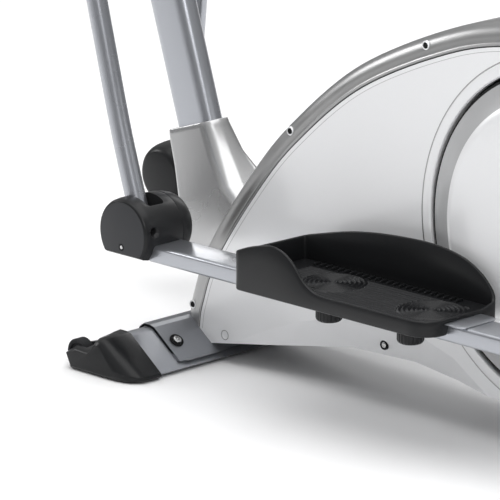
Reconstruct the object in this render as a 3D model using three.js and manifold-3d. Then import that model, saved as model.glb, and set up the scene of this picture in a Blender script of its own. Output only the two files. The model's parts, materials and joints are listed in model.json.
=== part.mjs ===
// Rear-drive elliptical trainer, in millimetres.
// X runs from the mast to the rear, Y to the user's right hand and Z up from the floor.
// Places along X are counted from the left knuckle pivot; the last lines centre the whole machine.

import * as THREE from 'three';
import { mergeVertices } from 'three/addons/utils/BufferGeometryUtils.js';
import Module from 'manifold-3d';

const wasm = await Module();
wasm.setup();

// Driving dimensions
const gap = 0.3;
const swingPivot = { x: -238, z: 1040 };
const swingLength = 856;
const crankAxis = { x: 717, z: 313 };
const crankRadius = 183;
const crankAngle = THREE.MathUtils.degToRad(64.2);
const pedalArmLength = 882;
const armTrack = 191;
const shellHalfWidth = 85;
const wall = 3;
const rimBand = 34;
const discRadius = 236;
const frontProfile = [[46, 4], [50, 6], [-13, 53], [-20, 55], [-31, 55], [-38, 50], [-57, 12], [-52, 4]];
const stabiliser = {
  outline: (grow) => grown(frontProfile, grow),
  capAt: 211, capEnd: 270, saddleHalf: 163, saddleLow: 16,
};
const rearStabiliser = {
  x: 1062, z: 41, height: 50, capAt: 215, capEnd: 262, saddleHalf: 90, saddleLow: 27,
  outline: (grow) => shifted(oval(90 + 2 * grow, 50 + 2 * grow), 1062, 41),
};
const mastSection = { long: 80, wide: 40 };
const mastLean = THREE.MathUtils.degToRad(17.8);
const mastFoot = { x: -42, z: 222 };
const beam = { low: 80, high: 120, half: 25 };
const flywheel = { x: 395, z: 300, radius: 138 };

// Materials
const finish = (colour, roughness, metalness) => new THREE.MeshStandardMaterial({ color: colour, roughness, metalness });
const silverPaint = finish(0xaeb1b8, 0.35, 0.6);
const bluePaint = finish(0x878b93, 0.4, 0.6);
const silverShell = finish(0xdcdde0, 0.35, 0.2);
const satinBand = finish(0x7f8287, 0.3, 0.5);
const blackPlastic = finish(0x2b2b2f, 0.55, 0);
const blackRubber = finish(0x1d1d1f, 0.85, 0);
const steel = finish(0xa0a2a6, 0.3, 1);
const castIron = finish(0x5a5c60, 0.5, 0.9);
const screenGlass = finish(0x2a3a40, 0.1, 0);

const machine = new THREE.Group();

function addPart(name, geometry, material, parent = machine) {
  const mesh = new THREE.Mesh(geometry, material);
  mesh.name = name;
  parent.add(mesh);
  return mesh;
}

// Booleans
function solidOf(geometry) {
  const bare = geometry.clone();
  bare.deleteAttribute('normal');
  bare.deleteAttribute('uv');
  const merged = mergeVertices(bare, 1e-3);
  return new wasm.Manifold(new wasm.Mesh({
    numProp: 3,
    vertProperties: new Float32Array(merged.attributes.position.array),
    triVerts: new Uint32Array(merged.index.array),
  }));
}

function geometryOf(solid) {
  const mesh = solid.getMesh();
  const geometry = new THREE.BufferGeometry();
  geometry.setAttribute('position', new THREE.BufferAttribute(new Float32Array(mesh.vertProperties), 3));
  geometry.setIndex(new THREE.BufferAttribute(new Uint32Array(mesh.triVerts), 1));
  return geometry;
}

const join = (...pieces) => geometryOf(pieces.map(solidOf).reduce((sum, piece) => sum.add(piece)));

const cut = (body, ...tools) => geometryOf(tools.map(solidOf).reduce((rest, tool) => rest.subtract(tool), solidOf(body)));

const common = (first, second) => geometryOf(solidOf(first).intersect(solidOf(second)));

// Shapes
const point = (x, z) => new THREE.Vector2(x, z);

function box(x0, x1, y0, y1, z0, z1) {
  return new THREE.BoxGeometry(x1 - x0, y1 - y0, z1 - z0).translate((x0 + x1) / 2, (y0 + y1) / 2, (z0 + z1) / 2);
}

// A side-view outline in X and Z, extruded across the machine from y0 to y1.
function prism(outline, y0, y1, bevel = 0) {
  const geometry = new THREE.ExtrudeGeometry(new THREE.Shape(outline), {
    depth: y1 - y0 - 2 * bevel,
    bevelEnabled: bevel > 0,
    bevelSize: bevel,
    bevelThickness: bevel,
    bevelOffset: -bevel,
    bevelSegments: 1,
  });
  return geometry.rotateX(Math.PI / 2).translate(0, y1 - bevel, 0);
}

// A plan-view outline in X and Y, extruded upwards from z0 to z1.
function plate(outline, z0, z1) {
  return new THREE.ExtrudeGeometry(new THREE.Shape(outline), { depth: z1 - z0, bevelEnabled: false }).translate(0, 0, z0);
}

// A disc or tube whose axis lies across the machine, at x and z.
function roller(x, z, radius, y0, y1, bore = 0, sides = 18) {
  const profile = bore > 0
    ? [point(bore, y0), point(radius, y0), point(radius, y1), point(bore, y1), point(bore, y0)]
    : [point(0, y0), point(radius, y0), point(radius, y1), point(0, y1)];
  return new THREE.LatheGeometry(profile, sides).translate(x, 0, z);
}

function post(x, y, radius, z0, z1, sides = 16) {
  return new THREE.LatheGeometry([point(0, z0), point(radius, z0), point(radius, z1), point(0, z1)], sides)
    .rotateX(Math.PI / 2).translate(x, y, 0);
}

// Flat-sided oval: two straight sides joined by half rounds.
function oval(long, wide, steps = 4) {
  const radius = wide / 2;
  const reach = long / 2 - radius;
  const outline = [];
  for (const end of [1, -1]) {
    for (let i = 0; i <= steps; i++) {
      const angle = -Math.PI / 2 + (Math.PI * i) / steps;
      outline.push(point(end * (reach + radius * Math.cos(angle)), end * radius * Math.sin(angle)));
    }
  }
  return outline;
}

function circle(radius, sides = 14) {
  return Array.from({ length: sides }, (_, i) => {
    const angle = (2 * Math.PI * i) / sides;
    return point(radius * Math.cos(angle), radius * Math.sin(angle));
  });
}

function roundedBox(long, wide, radius, steps = 4) {
  const outline = [];
  const corners = [[1, 1, 0], [-1, 1, 1], [-1, -1, 2], [1, -1, 3]];
  for (const [sx, sz, quarter] of corners) {
    for (let i = 0; i <= steps; i++) {
      const angle = (Math.PI / 2) * (quarter + i / steps);
      outline.push(point(
        sx * (long / 2 - radius) + radius * Math.cos(angle),
        sz * (wide / 2 - radius) + radius * Math.sin(angle),
      ));
    }
  }
  return outline;
}

// A convex outline with every edge moved outwards.
function grown(corners, distance) {
  const edges = corners.map(([x, z], i) => {
    const [nextX, nextZ] = corners[(i + 1) % corners.length];
    const long = Math.hypot(nextX - x, nextZ - z);
    const out = { x: (nextZ - z) / long, z: (x - nextX) / long };
    return { out, reach: x * out.x + z * out.z + distance };
  });
  return edges.map((edge, i) => {
    const before = edges[(i + edges.length - 1) % edges.length];
    const turn = before.out.x * edge.out.z - before.out.z * edge.out.x;
    return point(
      (before.reach * edge.out.z - edge.reach * before.out.z) / turn,
      (edge.reach * before.out.x - before.reach * edge.out.x) / turn,
    );
  });
}

const shifted = (outline, dx, dz) => outline.map((p) => point(p.x + dx, p.y + dz));

function rounded(points, closed, steps) {
  const curve = new THREE.CatmullRomCurve3(points.map(([x, z]) => new THREE.Vector3(x, 0, z)), closed, 'centripetal');
  return curve.getSpacedPoints(steps).map((p) => point(p.x, p.z));
}

// A path of straight runs whose corners are rounded over the given trim.
function bentPath(corners, trim) {
  const path = new THREE.CurvePath();
  let start = corners[0].clone();
  for (let i = 1; i < corners.length - 1; i++) {
    const before = corners[i].clone().add(corners[i - 1].clone().sub(corners[i]).setLength(trim));
    const after = corners[i].clone().add(corners[i + 1].clone().sub(corners[i]).setLength(trim));
    path.add(new THREE.LineCurve3(start, before));
    path.add(new THREE.QuadraticBezierCurve3(before, corners[i], after));
    start = after;
  }
  path.add(new THREE.LineCurve3(start, corners[corners.length - 1]));
  return path;
}

// Section x lies across the machine for a path in a side view, and section y in that view.
function sweep(outline, path, steps) {
  return new THREE.ExtrudeGeometry(new THREE.Shape(outline), { extrudePath: path, steps, bevelEnabled: false });
}

function volumeOf(geometry) {
  const position = geometry.attributes.position;
  const index = geometry.index;
  const [a, b, c] = [new THREE.Vector3(), new THREE.Vector3(), new THREE.Vector3()];
  let sum = 0;
  for (let i = 0; i < index.count; i += 3) {
    a.fromBufferAttribute(position, index.getX(i));
    b.fromBufferAttribute(position, index.getX(i + 1));
    c.fromBufferAttribute(position, index.getX(i + 2));
    sum += a.dot(b.cross(c)) / 6;
  }
  return sum;
}

// Every face turned over.
function turned(geometry) {
  const copy = geometry.clone();
  const index = copy.index.array;
  for (let i = 0; i < index.length; i += 3) {
    [index[i + 1], index[i + 2]] = [index[i + 2], index[i + 1]];
  }
  return copy;
}

// The same solid on the other side of the machine.
function mirrored(geometry) {
  const copy = geometry.index ? geometry.clone() : mergeVertices(geometry, 1e-3);
  copy.scale(1, -1, 1);
  return turned(copy);
}

const forSide = (side, geometry) => (side < 0 ? geometry : mirrored(geometry));

// A solid through closed rings of equal count, in order.
function loft(rings) {
  const count = rings[0].length;
  const positions = rings.flat().flatMap((p) => [p.x, p.y, p.z]);
  const faces = [];
  for (let r = 0; r + 1 < rings.length; r++) {
    for (let i = 0; i < count; i++) {
      const a = r * count + i;
      const b = r * count + ((i + 1) % count);
      faces.push(a, b, b + count, a, b + count, a + count);
    }
  }
  const last = (rings.length - 1) * count;
  for (let i = 1; i + 1 < count; i++) {
    faces.push(0, i + 1, i, last, last + i, last + i + 1);
  }
  const geometry = new THREE.BufferGeometry();
  geometry.setAttribute('position', new THREE.BufferAttribute(new Float32Array(positions), 3));
  geometry.setIndex(faces);
  return volumeOf(geometry) > 0 ? geometry : turned(geometry);
}

// The lower crossing of two circles in the side view.
function lowerCrossing(a, radiusA, b, radiusB) {
  const dx = b.x - a.x;
  const dz = b.z - a.z;
  const distance = Math.hypot(dx, dz);
  const along = (radiusA ** 2 - radiusB ** 2 + distance ** 2) / (2 * distance);
  const across = Math.sqrt(radiusA ** 2 - along ** 2);
  const options = [1, -1].map((sign) => ({
    x: a.x + (along * dx - sign * across * dz) / distance,
    z: a.z + (along * dz + sign * across * dx) / distance,
  }));
  return options[0].z < options[1].z ? options[0] : options[1];
}

// Frame, mast and stabilisers
const mastAxis = (z) => mastFoot.x - (z - mastFoot.z) * Math.tan(mastLean);
const mastTopZ = 1330;

// The mast leans forward from its foot and stands upright from below the swing pivot.
function mastPath() {
  const bendZ = mastFoot.z + (mastFoot.x - swingPivot.x) / Math.tan(mastLean);
  const corners = [[mastFoot.x, mastFoot.z], [swingPivot.x, bendZ], [swingPivot.x, mastTopZ]];
  return bentPath(corners.map(([x, z]) => new THREE.Vector3(x, 0, z)), 190);
}

const mastOuter = (grow) => oval(mastSection.long + 2 * grow, mastSection.wide + 2 * grow).map((p) => point(p.y, p.x));

function makeMast() {
  const tube = sweep(mastOuter(0), mastPath(), 11);
  const axleHole = roller(swingPivot.x, swingPivot.z, 12 + gap, -40, 40, 0, 24);
  return cut(tube, axleHole);
}

const saddleWall = 5;

function saddle(size) {
  const across = size.saddleHalf;
  const below = box(-200, 1200, -across - 5, across + 5, -50, size.saddleLow);
  return cut(
    prism(size.outline(saddleWall), -across, across),
    prism(size.outline(gap), -across - 5, across + 5),
    below,
  );
}

function makeMainFrame() {
  const run = [
    [-42, 57], [20, 57], [70, 78], [1010, 78], [1040, 68], [1078, 68],
    [1078, 80], [1060, 118], [60, 118], [-20, 112],
  ];
  const spine = prism(run.map(([x, z]) => point(x, z)), -beam.half, beam.half);
  const postFoot = 118 - 4;
  const crankPost = prism([
    point(crankAxis.x - 42, postFoot), point(crankAxis.x + 58, postFoot),
    point(crankAxis.x + 33, crankAxis.z), point(crankAxis.x - 33, crankAxis.z),
  ], -beam.half, beam.half);
  const housing = roller(crankAxis.x, crankAxis.z, 36, -44, 44);
  const fork = prism([
    point(430, postFoot), point(350, postFoot), point(flywheel.x - 22, flywheel.z), point(flywheel.x + 22, flywheel.z),
  ], -32, 32);
  const forkHead = roller(flywheel.x, flywheel.z, 22, -32, 32);
  // The neck's flat top carries the mast's foot.
  const seat = (reach) => point(
    mastFoot.x + reach * Math.cos(mastLean) + gap * Math.sin(mastLean),
    mastFoot.z + reach * Math.sin(mastLean) - gap * Math.cos(mastLean),
  );
  const neck = prism([seat(-32), point(-8, 166), point(30, 110), point(118, 110), point(48, 190), seat(36)], -20, 20);
  const brakePost = prism([
    point(480, postFoot), point(520, postFoot), point(505, 470), point(478, 478), point(372, 474), point(372, 452),
    point(470, 455),
  ], 40, 46);
  const brakeFoot = box(480, 520, 20, 46, postFoot - 16, postFoot + 2);
  const whole = join(
    spine, crankPost, housing, fork, forkHead, neck, brakePost, brakeFoot,
    saddle(stabiliser), saddle(rearStabiliser),
  );
  return cut(
    whole,
    roller(crankAxis.x, crankAxis.z, 26.8, -50, 50),
    roller(flywheel.x, flywheel.z, flywheel.radius + 8, -20, 20, 0, 24),
    roller(flywheel.x, flywheel.z, 8 + gap, -40, 40, 0, 20),
    roller(379, 462, 4 + gap, 30, 60, 0, 16),
    saddleRoom(stabiliser, gap),
    saddleRoom(rearStabiliser, gap),
  );
}

// The space that a stabiliser and its saddle take out of the shell above.
function saddleRoom(size, grow) {
  return prism(size.outline(grow), -170, 170);
}

function stabiliserTube(size) {
  const end = size.capEnd - 28;
  return prism(size.outline(0), -end, end);
}

addPart('main_frame', makeMainFrame(), bluePaint);
addPart('mast', makeMast(), silverPaint);
addPart('front_stabiliser', stabiliserTube(stabiliser), bluePaint);
addPart('rear_stabiliser', stabiliserTube(rearStabiliser), bluePaint);

// Each front cap holds a transport wheel between two cheeks at its nose.
const wheel = { x: -80, z: 23, radius: 21, inner: 236, outer: 258 };

function makeFrontCap(side) {
  const rings = [
    [stabiliser.capAt, [
      [-60, 0], [48, 0], [55, 5], [54, 10], [-10, 58], [-19, 60], [-33, 60], [-44, 52], [-62, 16], [-63, 7],
    ]],
    [234, [
      [-84, 0], [47, 0], [55, 5], [54, 10], [-10, 58], [-19, 60], [-31, 58], [-42, 42], [-78, 37], [-92, 22],
    ]],
    [247, [
      [-85, 0], [44, 0], [53, 5], [53, 10], [-11, 58], [-19, 60], [-30, 57], [-43, 38], [-75, 38], [-95, 24],
    ]],
    [262, [
      [-84, 0], [28, 0], [38, 5], [37, 11], [-13, 55], [-20, 57], [-29, 54], [-43, 36], [-73, 37], [-94, 24],
    ]],
    [stabiliser.capEnd, [
      [-79, 5], [2, 5], [12, 9], [10, 15], [-16, 48], [-21, 49], [-28, 47], [-43, 32], [-70, 33], [-89, 23],
    ]],
  ].map(([y, outline]) => outline.map(([x, z]) => new THREE.Vector3(x, -y, z)));
  const tubeRoom = prism(stabiliser.outline(gap), -stabiliser.capEnd + 27, -stabiliser.capAt + 5);
  const slot = box(-130, wheel.x + wheel.radius + 4, -wheel.outer - 1, -wheel.inner + 1, -20, 90);
  const opened = cut(loft(rings), tubeRoom, slot);
  const pin = roller(wheel.x, wheel.z, 4, -wheel.outer - 4, -wheel.inner + 4, 0, 16);
  const cap = join(opened, pin);
  return side < 0 ? cap : mirrored(cap);
}

function makeRearCap(side) {
  const room = prism(rearStabiliser.outline(gap), -rearStabiliser.capEnd + 27, -rearStabiliser.capAt + 5);
  const cap = cut(prism(rearStabiliser.outline(4), -rearStabiliser.capEnd, -rearStabiliser.capAt, 3), room);
  return side < 0 ? cap : mirrored(cap);
}

const sides = [['left', -1], ['right', 1]];
// The saddle bolts stand on the sloping rear face of the front saddle.
const faceLean = Math.atan2(53 - 6, 50 + 13);
const boltSeat = {
  x: 12.8 + (saddleWall + 0.1) * Math.sin(faceLean),
  y: 143,
  z: 33.7 + (saddleWall + 0.1) * Math.cos(faceLean),
};
const footHeight = rearStabiliser.z - rearStabiliser.height / 2 - 4 - gap;

for (const [label, side] of sides) {
  addPart(`front_cap_${label}`, makeFrontCap(side), blackPlastic);
  addPart(`rear_cap_${label}`, makeRearCap(side), blackPlastic);
  const inner = Math.min(side * wheel.inner, side * wheel.outer);
  addPart(
    `transport_wheel_${label}`,
    roller(wheel.x, wheel.z, wheel.radius, inner + 0.5, inner + wheel.outer - wheel.inner - 0.5, 4.4, 20),
    blackRubber,
  );
  addPart(`levelling_foot_${label}`, post(rearStabiliser.x, side * 238, 22, 0, footHeight), blackRubber);
  const bolt = post(0, 0, 7, 0, 5, 12);
  bolt.rotateY(faceLean).translate(boltSeat.x, side * boltSeat.y, boltSeat.z);
  addPart(`saddle_bolt_${label}`, bolt, steel);
}

// Shell halves, rim cover and mast boot
const rimOutline = rounded([
  [-28, 52], [-20, 92], [13, 173], [96, 291], [184, 389], [323, 498], [508, 580], [650, 610], [790, 625],
  [930, 603], [1050, 542], [1132, 440], [1158, 310], [1146, 180], [1118, 60],
], false, 24);

// The rim line moved towards the inside of the machine.
function insetRim(distance) {
  return rimOutline.map((p, i) => {
    const before = rimOutline[Math.max(i - 1, 0)];
    const after = rimOutline[Math.min(i + 1, rimOutline.length - 1)];
    const along = after.clone().sub(before).normalize();
    return point(p.x + along.y * distance, p.y - along.x * distance);
  });
}

const belly = [[1085, 46], [860, 52], [600, 60], [430, 78], [307, 74], [76, 34], [10, 22]];
const bellyCrease = [[76, 34], [141, 67], [191, 87], [241, 108], [330, 126], [420, 130], [484, 123], [587, 62]];

function facetCut() {
  const depth = 0.36;
  const rings = bellyCrease.map(([x, z]) => [
    new THREE.Vector3(x, -shellHalfWidth - 2, z + 2 / depth),
    new THREE.Vector3(x, -shellHalfWidth - 2, 10),
    new THREE.Vector3(x, -shellHalfWidth + depth * (z - 10), 10),
  ]);
  return loft(rings);
}

function makeShellSide(side) {
  const bellyPoints = belly.map(([x, z]) => point(x, z));
  const body = prism(insetRim(rimBand + gap).concat(bellyPoints), -shellHalfWidth, -44);
  const innerBelly = [point(1070, 49 + wall), ...shifted(bellyPoints.slice(1, -1), 0, wall)];
  const room = prism(insetRim(rimBand + wall).slice(3, -2).concat(innerBelly), -shellHalfWidth + wall, -30);
  const shell = cut(
    body, room, facetCut(), saddleRoom(stabiliser, 6), saddleRoom(rearStabiliser, 6),
    roller(crankAxis.x, crankAxis.z, discRadius + 5, -100, -20, 0, 40),
    roller(60, 44, 4.5, -100, -20, 0, 12),
  );
  return forSide(side, shell);
}

function makeRimCover() {
  const band = rimOutline.concat(insetRim(rimBand).reverse());
  const channel = insetRim(wall).concat(insetRim(rimBand + 6).reverse());
  const body = prism(band, -shellHalfWidth, shellHalfWidth, 3);
  const room = prism(channel, -shellHalfWidth + wall, shellHalfWidth - wall);
  const neckRoom = prism([
    point(-90, 40), point(130, 40), point(130, 105), point(90, 260), point(-20, 260), point(-90, 200),
  ], -beam.half - 1, beam.half + 1);
  return cut(body, room, neckRoom, sweep(mastOuter(3), mastPath(), 11), saddleRoom(stabiliser, 6), saddleRoom(rearStabiliser, 6));
}

function makeBoot() {
  const rings = (grow) => [
    { x: 45, z: 190, long: 168, wide: 118, turn: 0.62 },
    { x: -14, z: 226, long: 128, wide: 96, turn: 0.42 },
    { x: -52, z: 276, long: 104, wide: 66, turn: 0.34 },
    { x: mastAxis(330), z: 330, long: 96, wide: 54, turn: mastLean },
  ].map((ring, level, all) => {
    const stretch = level === 0 ? -grow : level === all.length - 1 ? grow : 0;
    const normal = { x: -Math.sin(ring.turn), z: Math.cos(ring.turn) };
    return roundedBox(ring.long - 2 * grow, ring.wide - 2 * grow, 22 - grow / 2).map((p) => new THREE.Vector3(
      ring.x + normal.x * stretch + p.x * Math.cos(ring.turn),
      p.y,
      ring.z + normal.z * stretch + p.x * Math.sin(ring.turn),
    ));
  });
  const shellBlock = prism(
    insetRim(-0.6).concat([point(1085, 0), point(-60, 0)]), -shellHalfWidth - 40, shellHalfWidth + 40,
  );
  return cut(loft(rings(0)), loft(rings(wall)), shellBlock, sweep(mastOuter(0.6), mastPath(), 11));
}

for (const [label, side] of sides) {
  addPart(`shell_${label}`, makeShellSide(side), silverShell);
}
addPart('rim_cover', makeRimCover(), satinBand);
addPart('mast_boot', makeBoot(), silverShell);

// Crank, drive and brake
const crank = new THREE.Group();
crank.position.set(crankAxis.x, 0, crankAxis.z);
machine.add(crank);
const crankArm = { inner: 110, outer: 134 };
const belt = { low: 52, high: 66, driveRadius: 165, smallRadius: 22 };

addPart('crank_axle', roller(0, 0, 12, -crankArm.outer + 2, crankArm.outer - 2, 0, 16), steel, crank);
addPart('drive_pulley', cut(
  roller(0, 0, belt.driveRadius - 6, belt.low + 1, belt.high - 1, 12 + gap, 24),
  ...[0, 1, 2, 3, 4].map((i) => {
    const angle = (2 * Math.PI * i) / 5;
    return roller(92 * Math.cos(angle), 92 * Math.sin(angle), 34, 40, 80, 0, 8);
  }),
), blackPlastic, crank);

function makeCrankDisc(side) {
  const face = [[12.6, 102], [150, 104], [201, 97], [224, 90], [discRadius, 87]];
  const outer = face.map(([r, y]) => point(r, y));
  const inner = face.map(([r, y]) => point(r, y - wall)).reverse();
  const dish = new THREE.LatheGeometry([...outer, ...inner, outer[0]], 28);
  dish.index.array.reverse();
  return side > 0 ? dish : mirrored(dish);
}

function makeCrankArm(side) {
  const outline = oval(crankRadius + 60, 56, 10).map((p) => point(p.x + crankRadius / 2, p.y));
  const bar = prism(outline, crankArm.inner, crankArm.outer, 2);
  const arm = cut(bar, roller(0, 0, 12 + gap, 100, 140, 0, 24));
  return side > 0 ? arm : mirrored(arm);
}

for (const [label, side] of sides) {
  const turned = new THREE.Group();
  turned.rotation.y = side < 0 ? Math.PI / 2 - crankAngle : -Math.PI / 2 - crankAngle;
  crank.add(turned);
  addPart(`crank_disc_${label}`, makeCrankDisc(side), silverShell, crank);
  addPart(`crank_arm_${label}`, makeCrankArm(side), steel, turned);
  const bearing = roller(crankAxis.x, crankAxis.z, 26, 32, 44, 12 + gap, 18);
  addPart(`crank_bearing_${label}`, side > 0 ? bearing : mirrored(bearing), steel);
}

addPart('flywheel', join(
  roller(flywheel.x, flywheel.z, flywheel.radius, -14, 14, 8 + gap, 24),
  roller(flywheel.x, flywheel.z, 17, 13, 19.5, 8 + gap, 24),
), castIron);
addPart('flywheel_axle', roller(flywheel.x, flywheel.z, 8, -38, 50, 0, 20), steel);
addPart('flywheel_pulley', roller(flywheel.x, flywheel.z, belt.smallRadius - 3, belt.low + 1, belt.high - 1, 0, 16), steel);

// The belt's outline is the two rims' outer hull, open on the inside.
function beltOutline(grow) {
  const dx = crankAxis.x - flywheel.x;
  const dz = crankAxis.z - flywheel.z;
  const bearing = Math.atan2(dz, dx);
  const lean = Math.acos((belt.driveRadius - belt.smallRadius) / Math.hypot(dx, dz));
  const arc = (centre, radius, from, to, steps) => Array.from({ length: steps + 1 }, (_, i) => {
    const angle = from + ((to - from) * i) / steps;
    return point(centre.x + radius * Math.cos(angle), centre.z + radius * Math.sin(angle));
  });
  const wide = Math.PI - lean;
  return [
    ...arc(crankAxis, belt.driveRadius + grow, bearing - wide, bearing + wide, 20),
    ...arc(flywheel, belt.smallRadius + grow, bearing + wide, bearing + 2 * Math.PI - wide, 8),
  ];
}

addPart('drive_belt', cut(prism(beltOutline(0), belt.low, belt.high), prism(beltOutline(-2.6), 40, 80)), blackRubber);

const brakePivot = { x: 379, z: 462 };

function makeBrake() {
  const arc = (radius, from, to) => Array.from({ length: 9 }, (_, i) => {
    const angle = from + ((to - from) * i) / 8;
    return point(flywheel.x + radius * Math.cos(angle), flywheel.z + radius * Math.sin(angle));
  });
  const low = THREE.MathUtils.degToRad(188);
  const high = THREE.MathUtils.degToRad(98);
  const shoe = prism([...arc(flywheel.radius + 7, high, low), ...arc(flywheel.radius + 17, low, high)], -18, 18);
  const lug = prism([point(366, 446), point(392, 446), point(390, 472), point(368, 472)], 20, 39);
  const web = prism([point(355, 440), point(392, 446), point(392, 456), point(355, 452)], 10, 30);
  const pin = roller(brakePivot.x, brakePivot.z, 4, 36, 52, 0, 16);
  return join(shoe, web, lug, pin);
}

addPart('brake_shoe', makeBrake(), steel);
addPart('brake_servo', box(232, 300, -22, 22, 118.4, 168), blackPlastic);

// Swing arms, pedal arms, knuckles and pedals. Each is drawn for the left side, with Y negative, and
// in its own turning frame: a swing arm hangs from its pivot and a pedal arm runs back from its knuckle.
const arm = { outer: armTrack + 30, inner: armTrack - 30, top: -13, bottom: -39 };
const pin = { x: Math.sqrt(pedalArmLength ** 2 - 17 ** 2), z: 17 };
const swingY = -196;
const bushHalf = 18;
const swingTube = 15.5;
const knuckle = { outer: 236, inner: 131 };


function makeSwingArm() {
  const start = new THREE.Vector3(0, swingY, 14 - swingLength);
  const end = new THREE.Vector3(0, swingY, 62);
  return cut(
    join(
      sweep(circle(swingTube), new THREE.LineCurve3(start, end), 1),
      roller(0, 0, 26, swingY - 23, swingY + 23, 0, 28),
      roller(0, -swingLength, 20, swingY - bushHalf, swingY + bushHalf, 0, 24),
    ),
    roller(0, 0, 12 + gap, swingY - 40, swingY + 40, 0, 24),
    roller(0, -swingLength, 8 + gap, swingY - 40, swingY + 40, 0, 20),
    post(0, swingY, 12.4, 20, 90, 20),
  );
}

const handleBends = [[0, 110], [-42, 230], [18, 430], [70, 555]];
const handlePoint = ([x, z]) => new THREE.Vector3(x, swingY, z);

function makeHandle() {
  const stem = new THREE.LineCurve3(handlePoint([0, 24]), handlePoint([0, 75]));
  const upper = bentPath([[0, 62.5], ...handleBends].map(handlePoint), 26);
  return join(sweep(circle(12, 10), stem, 1), sweep(circle(14, 10), upper, 12));
}

function sleeve(path, radius, bore, steps) {
  const ring = new THREE.Shape(circle(radius, 10));
  ring.holes.push(new THREE.Path(circle(bore, 10)));
  return new THREE.ExtrudeGeometry(ring, { extrudePath: path, steps, bevelEnabled: false });
}

const makeSwingGrip = () => sleeve(bentPath([[-25, 286.7], [18, 430], [69, 552.6]].map(handlePoint), 26), 18.5, 15.9, 6);

function makePedalArm() {
  const across = [-arm.outer, -arm.inner];
  const bar = prism([
    point(36, arm.bottom), point(845, arm.bottom), point(845, arm.top), point(36, arm.top),
  ], ...across, 2.5);
  const nose = prism([
    point(-24, -12), point(-8, -24), point(18, arm.bottom), point(36, arm.bottom), point(36, arm.top), point(18, 22),
    point(-12, 22), point(-24, 10),
  ], ...across);
  const forkRoom = box(-60, 28, swingY - bushHalf - 1, swingY + bushHalf + 1, -90, 90);
  const heel = prism([
    point(800, arm.top - 6), point(843, arm.bottom + 1), point(866, arm.bottom + 6), point(pin.x + 25, pin.z - 12),
    point(pin.x + 22, pin.z + 16), point(pin.x - 20, pin.z + 22), point(842, pin.z + 6),
  ], -armTrack - 24, -armTrack + 24, 2);
  return cut(
    join(
      cut(join(bar, nose), forkRoom),
      roller(0, 0, 8, -arm.outer + 1, -arm.inner - 1, 0, 20),
      heel,
      roller(pin.x, pin.z, 27, -armTrack - 28, -armTrack + 34, 0, 28),
    ),
    roller(pin.x, pin.z, 12 + gap, -armTrack - 22, -100, 0, 24),
    ...knobPlaces.map((x) => post(x, -armTrack, 5 + gap, arm.bottom - 5, arm.top + 5, 16)),
  );
}

const knobPlaces = [378, 536];

const makeCrankPin = () => roller(pin.x, pin.z, 12, -armTrack - 21.5, -crankArm.outer - 0.5, 0, 24);

// Round on top and flat below, with a slot above for the swing arm and a mouth behind for the pedal arm.
function makeKnuckleCover(slotAngles) {
  const ring = (y, radius, floor) => Array.from({ length: 22 }, (_, i) => {
    const angle = (2 * Math.PI * i) / 22;
    return new THREE.Vector3(radius * Math.cos(angle), y, Math.max(radius * Math.sin(angle), floor));
  });
  const outer = loft([
    ring(-knuckle.outer, 47, -33), ring(-knuckle.outer + 4, 50, -37), ring(-170, 48, -42.5),
    ring(-knuckle.inner - 5, 43, -42), ring(-knuckle.inner, 38, -37),
  ]);
  const inner = loft([
    ring(-knuckle.outer + 5, 45, -33), ring(-170, 44, -39.4), ring(-knuckle.inner - 6, 39, -38),
  ]);
  const reach = 90;
  const half = swingTube + 1.5;
  const edge = (angle, offset, far) => point(
    far * Math.sin(angle) + offset * Math.cos(angle), far * Math.cos(angle) - offset * Math.sin(angle),
  );
  const [front, back] = slotAngles;
  const slot = prism([
    edge(front, -half, 8), edge(front, -half, reach), edge((front + back) / 2, 0, reach * 1.2), edge(back, half, reach),
    edge(back, half, 8),
  ], swingY - half, swingY + half);
  const mouth = box(8, 90, -arm.outer - gap, -arm.inner + gap, arm.bottom - gap, arm.top + gap);
  return cut(outer, inner, slot, mouth);
}

const pedal = { front: 258, rear: 634, outer: 265, inner: 117, skirt: -28, rim: -5, floor: -9 };

function makePedal() {
  const { front, rear, outer, inner, skirt, rim, floor } = pedal;
  const plan = [
    point(front, -outer), point(rear - 34, -outer), point(rear - 12, -outer + 9), point(rear - 2, -outer + 30),
    point(rear, -outer + 50), point(rear, -inner), point(front, -inner),
  ];
  const tread = [
    point(front + 5, -outer + 6), point(rear - 38, -outer + 6), point(rear - 17, -outer + 14),
    point(rear - 8, -outer + 32), point(rear - 6, -outer + 52), point(rear - 6, -inner - 5), point(front + 5, -inner - 5),
  ];
  const outerWall = prism([
    [front, skirt], [front, 27], [290, 40], [320, 49], [342, 49], [366, 41], [380, 28], [394, 10], [424, rim], [424, skirt],
  ].map(([x, z]) => point(x, z)), -outer, -outer + 5);
  const innerWall = prism([
    [front, skirt], [front, 25], [339, 45], [449, 58], [522, 59], [577, 48], [606, 30], [628, 4], [rear, skirt],
  ].map(([x, z]) => point(x, z)), -inner - 5, -inner);
  const toe = box(front, front + 6, -outer + 1, -inner - 1, skirt, 26);
  return cut(
    join(cut(plate(plan, skirt, rim), plate(tread, floor, rim + 20)), outerWall, innerWall, toe),
    box(front - 10, rear + 10, -arm.outer - gap, -arm.inner + gap, -80, arm.top + gap),
  );
}

function makeKnob(x) {
  const low = arm.bottom - gap;
  const profile = [
    point(0, low - 26), point(17, low - 26), point(19.5, low - 22), point(19.5, low - 5), point(17, low), point(5, low),
    point(5, arm.top - 1), point(0, arm.top - 1),
  ];
  return new THREE.LatheGeometry(profile, 12).rotateX(Math.PI / 2).translate(x, -armTrack, 0);
}

addPart('pivot_axle', roller(swingPivot.x, swingPivot.z, 12, -222, 222, 0, 16), steel);

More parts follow.
